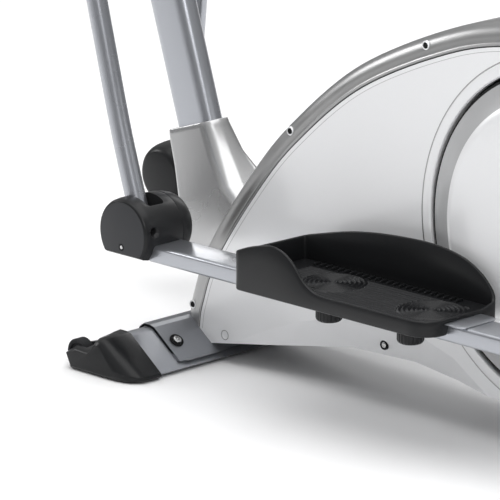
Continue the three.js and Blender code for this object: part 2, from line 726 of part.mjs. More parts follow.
const armLean = Math.atan2(pin.z, pin.x);
const linkage = sides.map(([label, side]) => {
  const angle = crankAngle + (side < 0 ? 0 : Math.PI);
  const end = {
    x: crankAxis.x + crankRadius * Math.sin(angle),
    z: crankAxis.z - crankRadius * Math.cos(angle),
  };
  const joint = lowerCrossing(swingPivot, swingLength, end, pedalArmLength);
  return {
    label,
    side,
    joint,
    swing: -Math.atan2(joint.x - swingPivot.x, swingPivot.z - joint.z),
    tilt: armLean - Math.atan2(end.z - joint.z, end.x - joint.x),
  };
});
const slotAngles = linkage.map(({ swing, tilt }) => swing - tilt).sort((a, b) => a - b);

for (const { label, side, joint, swing, tilt } of linkage) {
  const swingGroup = new THREE.Group();
  swingGroup.position.set(swingPivot.x, 0, swingPivot.z);
  swingGroup.rotation.y = swing;
  addPart(`swing_arm_${label}`, forSide(side, makeSwingArm()), silverPaint, swingGroup);
  addPart(`swing_handle_${label}`, forSide(side, makeHandle()), silverPaint, swingGroup);
  addPart(`swing_grip_${label}`, forSide(side, makeSwingGrip()), blackRubber, swingGroup);
  const pedalGroup = new THREE.Group();
  pedalGroup.position.set(joint.x, 0, joint.z);
  pedalGroup.rotation.y = tilt;
  addPart(`pedal_arm_${label}`, forSide(side, makePedalArm()), silverPaint, pedalGroup);
  addPart(`crank_pin_${label}`, forSide(side, makeCrankPin()), steel, pedalGroup);
  addPart(`knuckle_cover_${label}`, forSide(side, makeKnuckleCover(slotAngles)), blackPlastic, pedalGroup);
  addPart(`pedal_${label}`, forSide(side, makePedal()), blackPlastic, pedalGroup);
  knobPlaces.forEach((x, i) => {
    addPart(`pedal_knob_${label}_${i + 1}`, forSide(side, makeKnob(x)), blackPlastic, pedalGroup);
  });
  machine.add(swingGroup, pedalGroup);
}

// Console and fixed handlebar
const barHeight = 1190;
const barRun = [[80, 1262], [-50, 1215], [-178, barHeight]];

function makeFixedHandlebar() {
  const [end, bend, back] = barRun;
  const corners = [
    [end[0], -150, end[1]], [bend[0], -150, bend[1]], [back[0], -70, back[1]], [back[0], 70, back[1]],
    [bend[0], 150, bend[1]], [end[0], 150, end[1]],
  ].map((p) => new THREE.Vector3(...p));
  const bracket = box(swingPivot.x + 40 + gap, back[0] + 6, -20, 20, barHeight - 22, barHeight + 22);
  return join(sweep(circle(12.5, 10), bentPath(corners, 34), 18), bracket);
}

function makePulseGrip() {
  const [end, bend] = barRun;
  const at = (share) => new THREE.Vector3(bend[0] + (end[0] - bend[0]) * share, -150, bend[1] + (end[1] - bend[1]) * share);
  return sleeve(new THREE.LineCurve3(at(0.3), at(0.97)), 17.5, 13.6, 1);
}

addPart('fixed_handlebar', makeFixedHandlebar(), silverPaint);
for (const [label, side] of sides) {
  addPart(`pulse_grip_${label}`, forSide(side, makePulseGrip()), blackRubber);
}

// The console is drawn lying face up, then tilted towards the user.
const console_ = new THREE.Group();
console_.position.set(-214, 0, 1392);
console_.rotation.y = THREE.MathUtils.degToRad(58);
machine.add(console_);
const buttonSpots = [-66, -22, 22, 66];
const buttonX = 68;

function makeConsoleHousing() {
  const ring = (z, long, wide, shift) => roundedBox(long, wide, 26)
    .map((p) => new THREE.Vector3(p.x + shift, p.y, z));
  const body = loft([ring(-62, 120, 110, 30), ring(-40, 190, 250, 10), ring(-8, 216, 296, 0), ring(0, 206, 286, 0)]);
  const screenRoom = box(-74, 40, -112, 112, -8, 10);
  const holes = buttonSpots.map((y) => post(buttonX, y, 11 + gap, -14, 10, 20));
  return { body, tools: [screenRoom, ...holes] };
}

const housing = makeConsoleHousing();
const mastInConsole = sweep(mastOuter(0.6), mastPath(), 11)
  .translate(-console_.position.x, 0, -console_.position.z)
  .rotateY(-console_.rotation.y);
addPart('console_housing', cut(housing.body, mastInConsole, ...housing.tools), blackPlastic, console_);
addPart('console_screen', box(-73.6, 39.6, -111.6, 111.6, -7.6, -1), screenGlass, console_);
buttonSpots.forEach((y, i) => {
  addPart(`console_button_${i + 1}`, post(buttonX, y, 11, -11, 2, 20), blackRubber, console_);
});

// The floor's middle under the whole machine becomes the origin.
machine.updateMatrixWorld(true);
const extent = new THREE.Box3().setFromObject(machine, true);
machine.position.x = -Math.round(5 * (extent.min.x + extent.max.x)) / 10;

export default machine;
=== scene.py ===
import json
import math
import bpy
from mathutils import Matrix, Vector


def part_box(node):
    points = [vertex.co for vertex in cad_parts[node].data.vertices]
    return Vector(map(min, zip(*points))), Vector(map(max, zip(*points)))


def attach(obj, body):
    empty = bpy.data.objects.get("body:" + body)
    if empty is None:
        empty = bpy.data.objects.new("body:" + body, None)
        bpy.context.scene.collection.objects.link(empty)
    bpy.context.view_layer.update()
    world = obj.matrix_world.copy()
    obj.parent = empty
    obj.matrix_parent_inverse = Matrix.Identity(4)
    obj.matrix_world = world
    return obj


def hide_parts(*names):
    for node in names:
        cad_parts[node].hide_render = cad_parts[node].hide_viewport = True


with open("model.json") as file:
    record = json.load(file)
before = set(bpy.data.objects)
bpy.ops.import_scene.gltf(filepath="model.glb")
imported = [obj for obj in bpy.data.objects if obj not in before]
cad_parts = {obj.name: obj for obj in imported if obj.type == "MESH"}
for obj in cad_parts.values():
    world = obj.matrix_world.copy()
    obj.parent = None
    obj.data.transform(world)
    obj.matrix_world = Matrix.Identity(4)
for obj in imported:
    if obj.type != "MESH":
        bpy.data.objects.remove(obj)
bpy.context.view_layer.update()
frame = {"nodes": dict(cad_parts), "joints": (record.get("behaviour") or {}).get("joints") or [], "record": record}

mm = 0.001
bpy.ops.object.select_all(action="DESELECT")

# Places taken from the frame. machineX turns millimetres behind the left knuckle into the frame's X.
joints = {joint["name"]: joint for joint in frame["joints"]}
pivotOf = {name: Vector(joint["pos_m"]) for name, joint in joints.items() if "pos_m" in joint}
crankCentre = pivotOf["crank_turn"]
swingPivot = pivotOf["left_arm_swing"]
frontX = crankCentre.x - 717 * mm


def machineX(x):
    return frontX + x * mm


def middleOf(node):
    low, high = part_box(node)
    return (low + high) / 2


# Camera, floor and light
cameraSet = {"target": (189, -161, 214), "azimuth": 45.0, "elevation": 15.0, "distance": 6.5, "lens": 322.9}


def makeCamera():
    x, y, z = cameraSet["target"]
    target = Vector((machineX(x), y * mm, z * mm))
    turn, rise = math.radians(cameraSet["azimuth"]), math.radians(cameraSet["elevation"])
    back = Vector((math.sin(turn) * math.cos(rise), -math.cos(turn) * math.cos(rise), math.sin(rise)))
    bpy.ops.object.camera_add(location=target + back * cameraSet["distance"])
    camera = bpy.context.object
    camera.rotation_euler = (-back).to_track_quat("-Z", "Y").to_euler()
    camera.data.lens = cameraSet["lens"]
    camera.data.clip_end = 60
    bpy.context.scene.camera = camera
    bpy.ops.object.select_all(action="DESELECT")


# The sky is darker at the horizon than overhead.
skySet = {"horizon": (0.16, 0.16, 0.165, 1), "overhead": (1.0, 1.0, 1.0, 1), "rise": 0.75, "strength": 0.8}
lampSet = {
    "overhead": {"place": (0.2, 0.0, 3.4), "size": 4.0, "power": 95},
    "window": {"place": (2.9, -2.4, 2.4), "size": 1.0, "power": 34},
    "leftFill": {"place": (-3.4, -1.4, 1.6), "size": 1.0, "power": 24},
    "backEdge": {"place": (-1.6, 3.4, 2.4), "size": 2.0, "power": 26},
}


def makeLights():
    for name, settings in lampSet.items():
        bpy.ops.object.light_add(type="AREA", location=settings["place"])
        lamp = bpy.context.object
        lamp.name = name
        lamp.data.size = settings["size"]
        lamp.data.energy = settings["power"]
        lamp.rotation_euler = (Vector((0, 0, 0.4)) - lamp.location).to_track_quat("-Z", "Y").to_euler()
    world = bpy.data.worlds.new("studio")
    bpy.context.scene.world = world
    world.use_nodes = True
    sky, links = world.node_tree.nodes, world.node_tree.links
    place = sky.new("ShaderNodeTexCoord")
    parts = sky.new("ShaderNodeSeparateXYZ")
    ramp = sky.new("ShaderNodeValToRGB")
    links.new(place.outputs["Generated"], parts.inputs[0])
    links.new(parts.outputs["Z"], ramp.inputs["Fac"])
    links.new(ramp.outputs["Color"], sky["Background"].inputs["Color"])
    low, high = ramp.color_ramp.elements
    low.color, high.color = skySet["horizon"], skySet["overhead"]
    high.position = skySet["rise"]
    sky["Background"].inputs["Strength"].default_value = skySet["strength"]
    bpy.context.scene.view_settings.view_transform = "Standard"
    bpy.ops.object.select_all(action="DESELECT")


# Materials. A Wire is a node's output that does sums.
class Wire:
    def __init__(self, finish, socket):
        self.finish = finish
        self.socket = socket

    def sum(self, operation, first, second):
        return self.finish.node("ShaderNodeMath", {"operation": operation}, {0: first, 1: second})

    def __add__(self, other):
        return self.sum("ADD", self, other)

    __radd__ = __add__

    def __sub__(self, other):
        return self.sum("SUBTRACT", self, other)

    def __rsub__(self, other):
        return self.sum("SUBTRACT", other, self)

    def __mul__(self, other):
        return self.sum("MULTIPLY", self, other)

    __rmul__ = __mul__


# One material and the nodes that are added to it.
class Finish:
    def __init__(self, name, **constants):
        self.material = bpy.data.materials.new(name)
        self.material.use_nodes = True
        self.tree = self.material.node_tree
        self.shader = self.tree.nodes["Principled BSDF"]
        for socket, value in constants.items():
            self.shader.inputs[socket.replace("_", " ")].default_value = value

    def node(self, kind, settings=None, inputs=None, output=0):
        made = self.tree.nodes.new(kind)
        for key, value in (settings or {}).items():
            setattr(made, key, value)
        for key, value in (inputs or {}).items():
            if isinstance(value, Wire):
                self.tree.links.new(value.socket, made.inputs[key])
            else:
                made.inputs[key].default_value = value
        return Wire(self, made.outputs[output])

    def place(self):
        return self.node("ShaderNodeTexCoord", output="Object")

    def stretched(self, scale):
        return self.node("ShaderNodeMapping", inputs={"Vector": self.place(), "Scale": scale})

    def noise(self, scale, detail=3.0, rough=0.55, vector=None):
        inputs = {"Vector": vector or self.place(), "Scale": scale, "Detail": detail, "Roughness": rough}
        return self.node("ShaderNodeTexNoise", inputs=inputs, output="Fac")

    def mix(self, factor, first, second):
        made = self.tree.nodes.new("ShaderNodeMix")
        made.data_type = "RGBA"
        for index, value in ((0, factor), (6, first), (7, second)):
            if isinstance(value, Wire):
                self.tree.links.new(value.socket, made.inputs[index])
            else:
                made.inputs[index].default_value = value
        return Wire(self, made.outputs[2])

    def bump(self, height, strength, distance):
        inputs = {"Height": height, "Strength": strength, "Distance": distance}
        return self.node("ShaderNodeBump", inputs=inputs)

    def feed(self, **wires):
        for socket, wire in wires.items():
            self.tree.links.new(wire.socket, self.shader.inputs[socket.replace("_", " ")])
        return self.material


def grey(level, tint=0.0):
    return (level, level * (1 + tint * 0.3), level * (1 + tint), 1)


def paintFinish(name, light, dark, metallic, rough, flakes, tint):
    paint = Finish(name, Metallic=metallic, Coat_Weight=0.35, Coat_Roughness=0.08)
    fleck = paint.noise(flakes, 2.0)
    cloud = paint.noise(6.0, 3.0)
    colour = paint.mix(fleck * 0.7 + cloud * 0.3, grey(dark, tint), grey(light, tint))
    return paint.feed(
        Base_Color=colour,
        Roughness=rough + (cloud - 0.5) * 0.08,
        Normal=paint.bump(paint.noise(420.0, 2.0), 0.04, 0.0004),
    )


def mouldedFinish(name, level, rough, grain, depth, tint=0.12):
    plastic = Finish(name, Metallic=0.0, Specular_IOR_Level=0.22)
    pebble = plastic.noise(grain, 4.0, 0.65)
    cloud = plastic.noise(9.0, 3.0)
    colour = plastic.mix(pebble * 0.5 + cloud * 0.5, grey(level * 0.82, tint), grey(level * 1.2, tint))
    return plastic.feed(
        Base_Color=colour,
        Roughness=rough + (pebble - 0.5) * 0.16,
        Normal=plastic.bump(pebble, depth, 0.0006),
    )


def brushedFinish(name, light, dark, rough, scale, metallic=1.0):
    metal = Finish(name, Metallic=metallic)
    streak = metal.noise(8.0, 4.0, vector=metal.stretched(scale))
    cloud = metal.noise(12.0, 2.0)
    return metal.feed(
        Base_Color=metal.mix(streak * 0.6 + cloud * 0.4, grey(dark), grey(light)),
        Roughness=rough + (streak - 0.5) * 0.2,
        Normal=metal.bump(streak, 0.08, 0.0004),
    )


def screenFinish():
    glass = Finish("displayGlass", Roughness=0.08, Metallic=0.0, Coat_Weight=0.6)
    return glass.feed(Base_Color=glass.mix(glass.noise(30.0), (0.03, 0.045, 0.045, 1), (0.05, 0.07, 0.07, 1)))


finishes = {}


def makeFinishes():
    finishes.update({
        "silver_paint": paintFinish("silverPaint", 0.41, 0.35, 0.85, 0.28, 900.0, 0.11),
        "frame_paint": paintFinish("framePaint", 0.27, 0.235, 0.6, 0.38, 900.0, 0.12),
        "shell_silver": paintFinish("shellSilver", 0.80, 0.76, 0.12, 0.30, 700.0, 0.02),
        "bootSilver": paintFinish("bootSilver", 0.48, 0.42, 0.92, 0.27, 700.0, 0.01),
        "bandGrey": paintFinish("bandGrey", 0.46, 0.38, 0.4, 0.38, 1600.0, 0.02),
        "satin_band": brushedFinish("satinBand", 0.38, 0.33, 0.34, (3, 3, 3), 0.85),
        "black_plastic": mouldedFinish("blackMoulded", 0.011, 0.30, 1500.0, 0.12),
        "rubber": mouldedFinish("blackRubber", 0.018, 0.75, 900.0, 0.4),
        "steel": brushedFinish("brightSteel", 0.62, 0.5, 0.25, (40, 4, 40)),
        "cast_iron": mouldedFinish("castIron", 0.10, 0.6, 300.0, 0.4),
        "screen": screenFinish(),
        "greyPlastic": mouldedFinish("greyMoulded", 0.034, 0.38, 1500.0, 0.14),
        # The next material is near black and matte. It is laid in gaps, seams, slots and screw wells as painted
        # shade.
        "paintedGapShade": mouldedFinish("paintedGapShade", 0.008, 0.8, 400.0, 0.2),
        "digits": mouldedFinish("digits", 0.45, 0.5, 400.0, 0.05),
    })


# Mesh helpers
def only(piece):
    bpy.ops.object.select_all(action="DESELECT")
    piece.select_set(True)
    bpy.context.view_layer.objects.active = piece


def linked(name, data):
    piece = bpy.data.objects.new(name, data)
    bpy.context.scene.collection.objects.link(piece)
    return piece


def meshFromCurve(name, curve):
    only(linked(name, curve))
    bpy.ops.object.convert(target="MESH")
    return bpy.context.object


def meshPiece(name, points, faces):
    mesh = bpy.data.meshes.new(name)
    mesh.from_pydata([tuple(p) for p in points], [], faces)
    return linked(name, mesh)


def inEditMode(piece, *steps):
    only(piece)
    bpy.ops.object.mode_set(mode="EDIT")
    bpy.ops.mesh.select_all(action="SELECT")
    for step in steps:
        step()
    bpy.ops.object.mode_set(mode="OBJECT")


def tidyNormals(piece):
    inEditMode(
        piece,
        lambda: bpy.ops.mesh.remove_doubles(threshold=0.01 * mm),
        lambda: bpy.ops.mesh.normals_make_consistent(inside=False),
    )
    return piece


def modify(piece, kind, **settings):
    only(piece)
    modifier = piece.modifiers.new(kind.lower(), kind)
    for key, value in settings.items():
        setattr(modifier, key, value)
    bpy.ops.object.modifier_apply(modifier=modifier.name)
    return piece


def bevel(piece, width, segments=2, angle=35):
    limit = math.radians(angle)
    return modify(piece, "BEVEL", width=width, segments=segments, limit_method="ANGLE", angle_limit=limit)


def carve(piece, *cutters):
    for cutter in cutters:
        modify(piece, "BOOLEAN", object=cutter, operation="DIFFERENCE", solver="EXACT")
        bpy.data.objects.remove(cutter)
    return piece


def smooth(piece, angle=34):
    only(piece)
    bpy.ops.object.shade_smooth_by_angle(angle=math.radians(angle))
    return piece


def applyPlace(piece):
    only(piece)
    bpy.ops.object.transform_apply(location=True, rotation=True, scale=True)
    return piece


def mirrored(piece):
    piece.data.transform(Matrix.Scale(-1, 4, (0, 1, 0)))
    piece.data.flip_normals()


def joined(name, *pieces):
    only(pieces[0])
    for piece in pieces:
        piece.select_set(True)
    bpy.ops.object.join()
    pieces[0].name = name
    pieces[0].data.name = name
    return pieces[0]


def block(name, low, high, edge=0.0, segments=3):
    low, high = Vector(low), Vector(high)
    bpy.ops.mesh.primitive_cube_add(size=1, location=(low + high) / 2)
    piece = bpy.context.object
    piece.scale = high - low
    piece.name = name
    applyPlace(piece)
    return bevel(piece, edge, segments) if edge else piece


# A turned piece: the profile lists (radius, reach along the axis), and the axis runs through centre.
def turned(name, profile, centre, axis="Y", steps=64):
    centre = Vector(centre)
    along = {"X": Vector((1, 0, 0)), "Y": Vector((0, 1, 0)), "Z": Vector((0, 0, 1))}[axis]
    out = Vector((0, 0, 1)) if axis != "Z" else Vector((1, 0, 0))
    points = [centre + along * reach + out * radius for radius, reach in profile]
    mesh = bpy.data.meshes.new(name)
    mesh.from_pydata(points, [(i, i + 1) for i in range(len(points) - 1)], [])
    piece = linked(name, mesh)
    inEditMode(piece, lambda: bpy.ops.mesh.spin(
        steps=steps, angle=2 * math.pi, center=centre, axis=along, use_auto_merge=True))
    return tidyNormals(piece)


# A flat outline with holes, drawn as a curve, given its thickness and rounded edges. It stands
# in the side view, or lies in the plan view.
def platePiece(name, outlines, low, high, edge=0.0, plan=False):
    curve = bpy.data.curves.new(name, "CURVE")
    curve.dimensions = "2D"
    curve.fill_mode = "BOTH"
    for outline in outlines:
        spline = curve.splines.new("POLY")
        spline.points.add(len(outline) - 1)
        for point, (x, z) in zip(spline.points, outline):
            point.co = (x, z, 0, 1)
        spline.use_cyclic_u = True
    curve.extrude = (high - low) / 2 - edge
    curve.bevel_depth = edge
    curve.bevel_resolution = 2
    curve.offset = -edge
    piece = meshFromCurve(name, curve)
    middle = (low + high) / 2
    if plan:
        piece.location = (0, 0, middle)
    else:
        piece.rotation_euler = (math.pi / 2, 0, 0)
        piece.location = (0, middle, 0)
    applyPlace(piece)
    return tidyNormals(piece)


def roundPath(corners, trim, steps=8):
    corners = [Vector(c) for c in corners]
    path = [corners[0]]
    for before, corner, after in zip(corners, corners[1:], corners[2:]):
        start = corner + (before - corner).normalized() * trim
        end = corner + (after - corner).normalized() * trim
        for i in range(steps + 1):
            t = i / steps
            path.append(start * (1 - t) ** 2 + corner * 2 * t * (1 - t) + end * t ** 2)
    path.append(corners[-1])
    return path


def tubePiece(name, path, radius):
    curve = bpy.data.curves.new(name, "CURVE")
    curve.dimensions = "3D"
    curve.bevel_depth = radius
    curve.bevel_resolution = 8
    curve.use_fill_caps = True
    spline = curve.splines.new("POLY")
    spline.points.add(len(path) - 1)
    for point, place in zip(spline.points, path):
        point.co = (*place, 1)
    return bevel(tidyNormals(meshFromCurve(name, curve)), 1 * mm, 2, 60)


# A section swept along a path in the side view. Section points are (across the path, along Y).
def sideSweep(name, path, section):
    points, faces, count = [], [], len(section)
    for i, place in enumerate(path):
        along = (path[min(i + 1, len(path) - 1)] - path[max(i - 1, 0)]).normalized()
        across = Vector((along.z, 0, -along.x))
        points += [place + across * a + Vector((0, b, 0)) for a, b in section]
    for i in range(len(path) - 1):
        for j in range(count):
            k = (j + 1) % count
            faces.append((i * count + j, i * count + k, (i + 1) * count + k, (i + 1) * count + j))
    faces.append(tuple(range(count)))
    faces.append(tuple((len(path) - 1) * count + j for j in range(count)))
    return tidyNormals(meshPiece(name, points, faces))


def loftPiece(name, rings, closed=False):
    count = len(rings[0])
    points = [p for ring in rings for p in ring]
    faces = []
    spans = len(rings) if closed else len(rings) - 1
    for i in range(spans):
        n = (i + 1) % len(rings)
        for j in range(count):
            k = (j + 1) % count
            faces.append((i * count + j, i * count + k, n * count + k, n * count + j))
    if not closed:
        faces.append(tuple(range(count)))
        faces.append(tuple((len(rings) - 1) * count + j for j in range(count)))
    return tidyNormals(meshPiece(name, points, faces))


def ovalOutline(long, wide, steps=12):
    radius, reach = wide / 2, long / 2 - wide / 2
    outline = []
    for end in (1, -1):
        for i in range(steps + 1):
            angle = -math.pi / 2 + math.pi * i / steps
            outline.append((end * (reach + radius * math.cos(angle)), end * radius * math.sin(angle)))
    return outline


# A rectangle whose four corners, from high x and high y round to the left, have their own radii.
def roundedOutline(low, high, radii, steps=8):
    (x0, y0), (x1, y1) = low, high
    corners = [(x1, y1, -1, -1), (x0, y1, 1, -1), (x0, y0, 1, 1), (x1, y0, -1, 1)]
    outline = []
    for quarter, ((x, y, sx, sy), radius) in enumerate(zip(corners, radii)):
        for i in range(steps + 1):
            angle = (quarter + i / steps) * math.pi / 2
            outline.append((x + (sx + math.cos(angle)) * radius, y + (sy + math.sin(angle)) * radius))
    return outline


def circleOutline(x, z, radius, sides=48):
    angles = [2 * math.pi * i / sides for i in range(sides)]
    return [(x + radius * math.cos(angle), z + radius * math.sin(angle)) for angle in angles]


# Points on a smooth curve through the given ones.
def splineThrough(points, per):
    points = [Vector(p) for p in points]
    last = len(points) - 1
    curve = []
    for i in range(last):
        p0, p1, p2, p3 = (points[min(max(i + k, 0), last)] for k in (-1, 0, 1, 2))
        square = 2 * p0 - 5 * p1 + 4 * p2 - p3
        cube = 3 * p1 - p0 - 3 * p2 + p3
        for j in range(per):
            t = j / per
            curve.append(0.5 * (2 * p1 + (p2 - p0) * t + square * t ** 2 + cube * t ** 3))
    curve.append(points[-1])
    return curve


# The height at x of a smooth line through (x, height) stops.
def heightAlong(stops, x):
    line = splineThrough([(a, b, 0) for a, b in stops], 6)
    if x <= line[0].x:
        return line[0].y
    for before, after in zip(line, line[1:]):
        if x <= after.x:
            return before.y + (after.y - before.y) * (x - before.x) / max(after.x - before.x, 1e-6)
    return line[-1].y


def finishPiece(piece, body, slotName, material=None, stands=(), angle=34):
    marks = [face.material_index for face in piece.data.polygons]
    piece.data.materials.clear()
    piece.data.materials.append(finishes[material or slotName])
    piece.data.polygons.foreach_set("material_index", marks)
    smooth(piece, angle)
    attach(piece, body)
    if stands:
        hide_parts(*stands)
    return piece


# Both sides: a template is drawn for the left side, in the space of the group that it belongs to.
sides = (("left", -1), ("right", 1))
pinRise = 17 * mm


def spaceOfSwing(side):
    knuckle = pivotOf[side + "_knuckle_turn"]
    pivot = pivotOf[side + "_arm_swing"]
    lean = -math.atan2(knuckle.x - pivot.x, pivot.z - knuckle.z)
    return Matrix.Translation((pivot.x, 0, pivot.z)) @ Matrix.Rotation(lean, 4, "Y")


def spaceOfPedal(side):
    knuckle = pivotOf[side + "_knuckle_turn"]
    pin = middleOf("crank_pin_" + side)
    reach = math.hypot(pin.x - knuckle.x, pin.z - knuckle.z)
    tilt = math.asin(pinRise / reach) - math.atan2(pin.z - knuckle.z, pin.x - knuckle.x)
    return Matrix.Translation((knuckle.x, 0, knuckle.z)) @ Matrix.Rotation(tilt, 4, "Y")


def placeOf(group, side):
    if group == "swing":
        return spaceOfSwing(side), side + "_swing"
    if group == "pedal":
        return spaceOfPedal(side), side + "_pedal_arm"
    return Matrix.Identity(4), group


def onBothSides(template, name, group, slotName, standsFor=(), material=None, angle=34):
    made = []
    for side, sign in sides:
        copy = linked(f"{name}_{side}", template.data.copy())
        if sign > 0:
            mirrored(copy)
        space, body = placeOf(group, side)
        copy.data.transform(space)
        stands = [f"{node}_{side}" for node in standsFor]
        made.append(finishPiece(copy, body, slotName, material, stands, angle))
    bpy.data.objects.remove(template)
    return made


# Pedal
pedalSet = {
    "front": 258, "rear": 634, "outer": 265, "inner": 117, "skirt": -28, "floor": -9, "wall": 5,
    "corners": (12, 10, 12, 36), "cell": 1.25,
    "outerTop": [
        (258, 27.5), (290, 40), (322, 48), (342, 48.5), (362, 42), (380, 28), (396, 10), (414, -1),
        (434, -5), (470, -5),
    ],
    "innerTop": [
        (258, 25), (339, 45), (395, 54), (449, 58.5), (500, 60), (540, 57), (577, 48), (606, 32),
        (624, 14), (634, 0),
    ],
    "ringCentres": [(385, -191), (580, -197)], "ringReach": 50, "ringPitch": 6.6, "ringHeight": 2.9,
    "mainRidges": {"x": (300, 610), "y": (-250, -150), "middle": -200, "pitch": 8, "height": 1.9},
    "edgeRidges": {"x": (430, 600), "y": (-258, -246), "middle": -252, "pitch": 6, "height": 0.9},
    "ribs": 24, "ribPitch": 12, "ribFrom": 300, "ribHalf": 1.6, "ribRun": (-142, -128), "ribRise": (-1, 4),
}


def pedalTop(x, y):
    s = pedalSet
    toInner = (y + s["outer"]) / (s["outer"] - s["inner"])
    if x < s["front"] + 6:
        blend = toInner
    else:
        blend = min(max((y + s["inner"] + 34) / 26, 0), 1)
        blend = blend * blend * (3 - 2 * blend)
    outer = heightAlong(s["outerTop"], x)
    inner = heightAlong(s["innerTop"], x)
    return outer * (1 - blend) + inner * blend


def makePedalWall():
    s = pedalSet
    low, high = (s["front"], -s["outer"]), (s["rear"], -s["inner"])
    thick = s["wall"]
    outline = roundedOutline(low, high, s["corners"])
    dense = []
    for (x0, y0), (x1, y1) in zip(outline, outline[1:] + outline[:1]):
        count = max(int(math.hypot(x1 - x0, y1 - y0) / 5), 1)
        dense += [(x0 + (x1 - x0) * i / count, y0 + (y1 - y0) * i / count) for i in range(count)]
    rings = []
    count = len(dense)
    for i, (x, y) in enumerate(dense):
        ahead, behind = Vector(dense[(i + 1) % count]), Vector(dense[i - 1])
        along = (ahead - behind).normalized()
        inward = Vector((-along.y, along.x))
        top = pedalTop(x, y)
        overArm = -223 < y < -159 and (x < s["front"] + 20 or x > s["rear"] - 20)
        bottom = -12.6 if overArm else s["skirt"]
        rows = [
            (0, bottom + 1.5), (0, top - 1.6), (0.6, top - 0.5), (1.6, top),
            (thick - 1.6, top), (thick - 0.6, top - 0.5), (thick, top - 1.6),
            (thick, bottom + 1), (thick - 1, bottom), (1.5, bottom),
        ]
        rings.append([Vector(((x + inward.x * d) * mm, (y + inward.y * d) * mm, z * mm)) for d, z in rows])
    return loftPiece("pedalWall", rings, closed=True)


def ridgeHeight(strip, x, y):
    if not (strip["x"][0] < x < strip["x"][1] and strip["y"][0] < y < strip["y"][1]):
        return 0.0
    return strip["height"] * max(math.cos(2 * math.pi * (y - strip["middle"]) / strip["pitch"]), 0)


def treadHeight(x, y):
    s = pedalSet
    height = 0.0
    inRing = False
    for cx, cy in s["ringCentres"]:
        reach = math.hypot(x - cx, y - cy)
        if reach < s["ringReach"]:
            inRing = True
            wave = math.cos(2 * math.pi * reach / s["ringPitch"])
            fade = min((s["ringReach"] - reach) / 5, 1)
            height += s["ringHeight"] * (0.4 + 0.6 * wave) * fade
    if not inRing:
        height += ridgeHeight(s["mainRidges"], x, y)
    return height + ridgeHeight(s["edgeRidges"], x, y)


def makeTread():
    s = pedalSet
    inset = s["wall"] - 1
    x0, x1 = s["front"] + inset, s["rear"] - inset
    radius = s["corners"][3] - inset
    columns, rows = int((x1 - x0) / s["cell"]), int((s["outer"] - s["inner"] - 2 * inset) / s["cell"])
    points, faces = [], []
    for i in range(columns + 1):
        x = x0 + (x1 - x0) * i / columns
        over = max(x - (x1 - radius), 0)
        cut = radius - math.sqrt(max(radius ** 2 - over ** 2, 0))
        y0, y1 = -s["outer"] + inset + cut, -s["inner"] - inset
        for j in range(rows + 1):
            y = y0 + (y1 - y0) * j / rows
            points.append(Vector((x * mm, y * mm, (s["floor"] + treadHeight(x, y)) * mm)))
    for i in range(columns):
        for j in range(rows):
            a = i * (rows + 1) + j
            faces.append((a, a + rows + 1, a + rows + 2, a + 1))
    piece = meshPiece("pedalTread", points, faces)
    return modify(piece, "SOLIDIFY", thickness=1.4 * mm, offset=-1)


def makeRibs():
    s = pedalSet
    ribs = []
    for i in range(s["ribs"]):
        x = s["ribFrom"] + i * s["ribPitch"]
        low = Vector((x - s["ribHalf"], s["ribRun"][0], s["floor"] + s["ribRise"][0]))
        high = Vector((x + s["ribHalf"], s["ribRun"][1], s["floor"] + s["ribRise"][1]))
        ribs.append(block("rib", low * mm, high * mm, 1.3 * mm, 2))
    return joined("pedalRibs", *ribs)


def makePedals():
    wall = makePedalWall()
    onBothSides(wall, "pedalShell", "pedal", "black_plastic", ["pedal"], angle=50)
    onBothSides(makeTread(), "pedalTread", "pedal", "black_plastic", angle=60)
    onBothSides(makeRibs(), "pedalRibs", "pedal", "black_plastic")
    print("pedals made")


# Pedal knobs
knobSet = {
    "places": (378, 536), "y": -191, "radius": 19.5, "flutes": 22, "fluteDepth": 0.9,
    "levels": [(-65.3, 4.5), (-64.3, 2.5), (-61.8, 0.4), (-60.3, 0), (-45.3, 0), (-42.3, 1), (-39.3, 3)],
}


def makeKnob(x):
    s = knobSet
    rings = []
    for z, shrink in s["levels"]:
        depth = s["fluteDepth"] * (1 if shrink < 1 else 0.3)
        ring = []
        for i in range(s["flutes"] * 6):
            angle = 2 * math.pi * i / (s["flutes"] * 6)
            reach = s["radius"] - shrink - depth * (0.5 + 0.5 * math.cos(angle * s["flutes"]))
            spot = Vector((x + reach * math.cos(angle), s["y"] + reach * math.sin(angle), z))
            ring.append(spot * mm)
        rings.append(ring)
    return loftPiece("knob", rings)


def makeKnobs():
    for number, x in enumerate(knobSet["places"], 1):
        for side, sign in sides:
            knob = makeKnob(x)
            if sign > 0:
                mirrored(knob)
            knob.data.transform(spaceOfPedal(side))
            node = f"pedal_knob_{side}_{number}"
            knob.name = f"knob_{side}_{number}"
            finishPiece(knob, node, "black_plastic", None, [node], 50)
    print("knobs made")


# Pedal arms with their heel brackets
armSet = {"top": -13, "bottom": -39, "near": 221, "far": 161, "start": 36, "end": 846, "reach": 881.8}


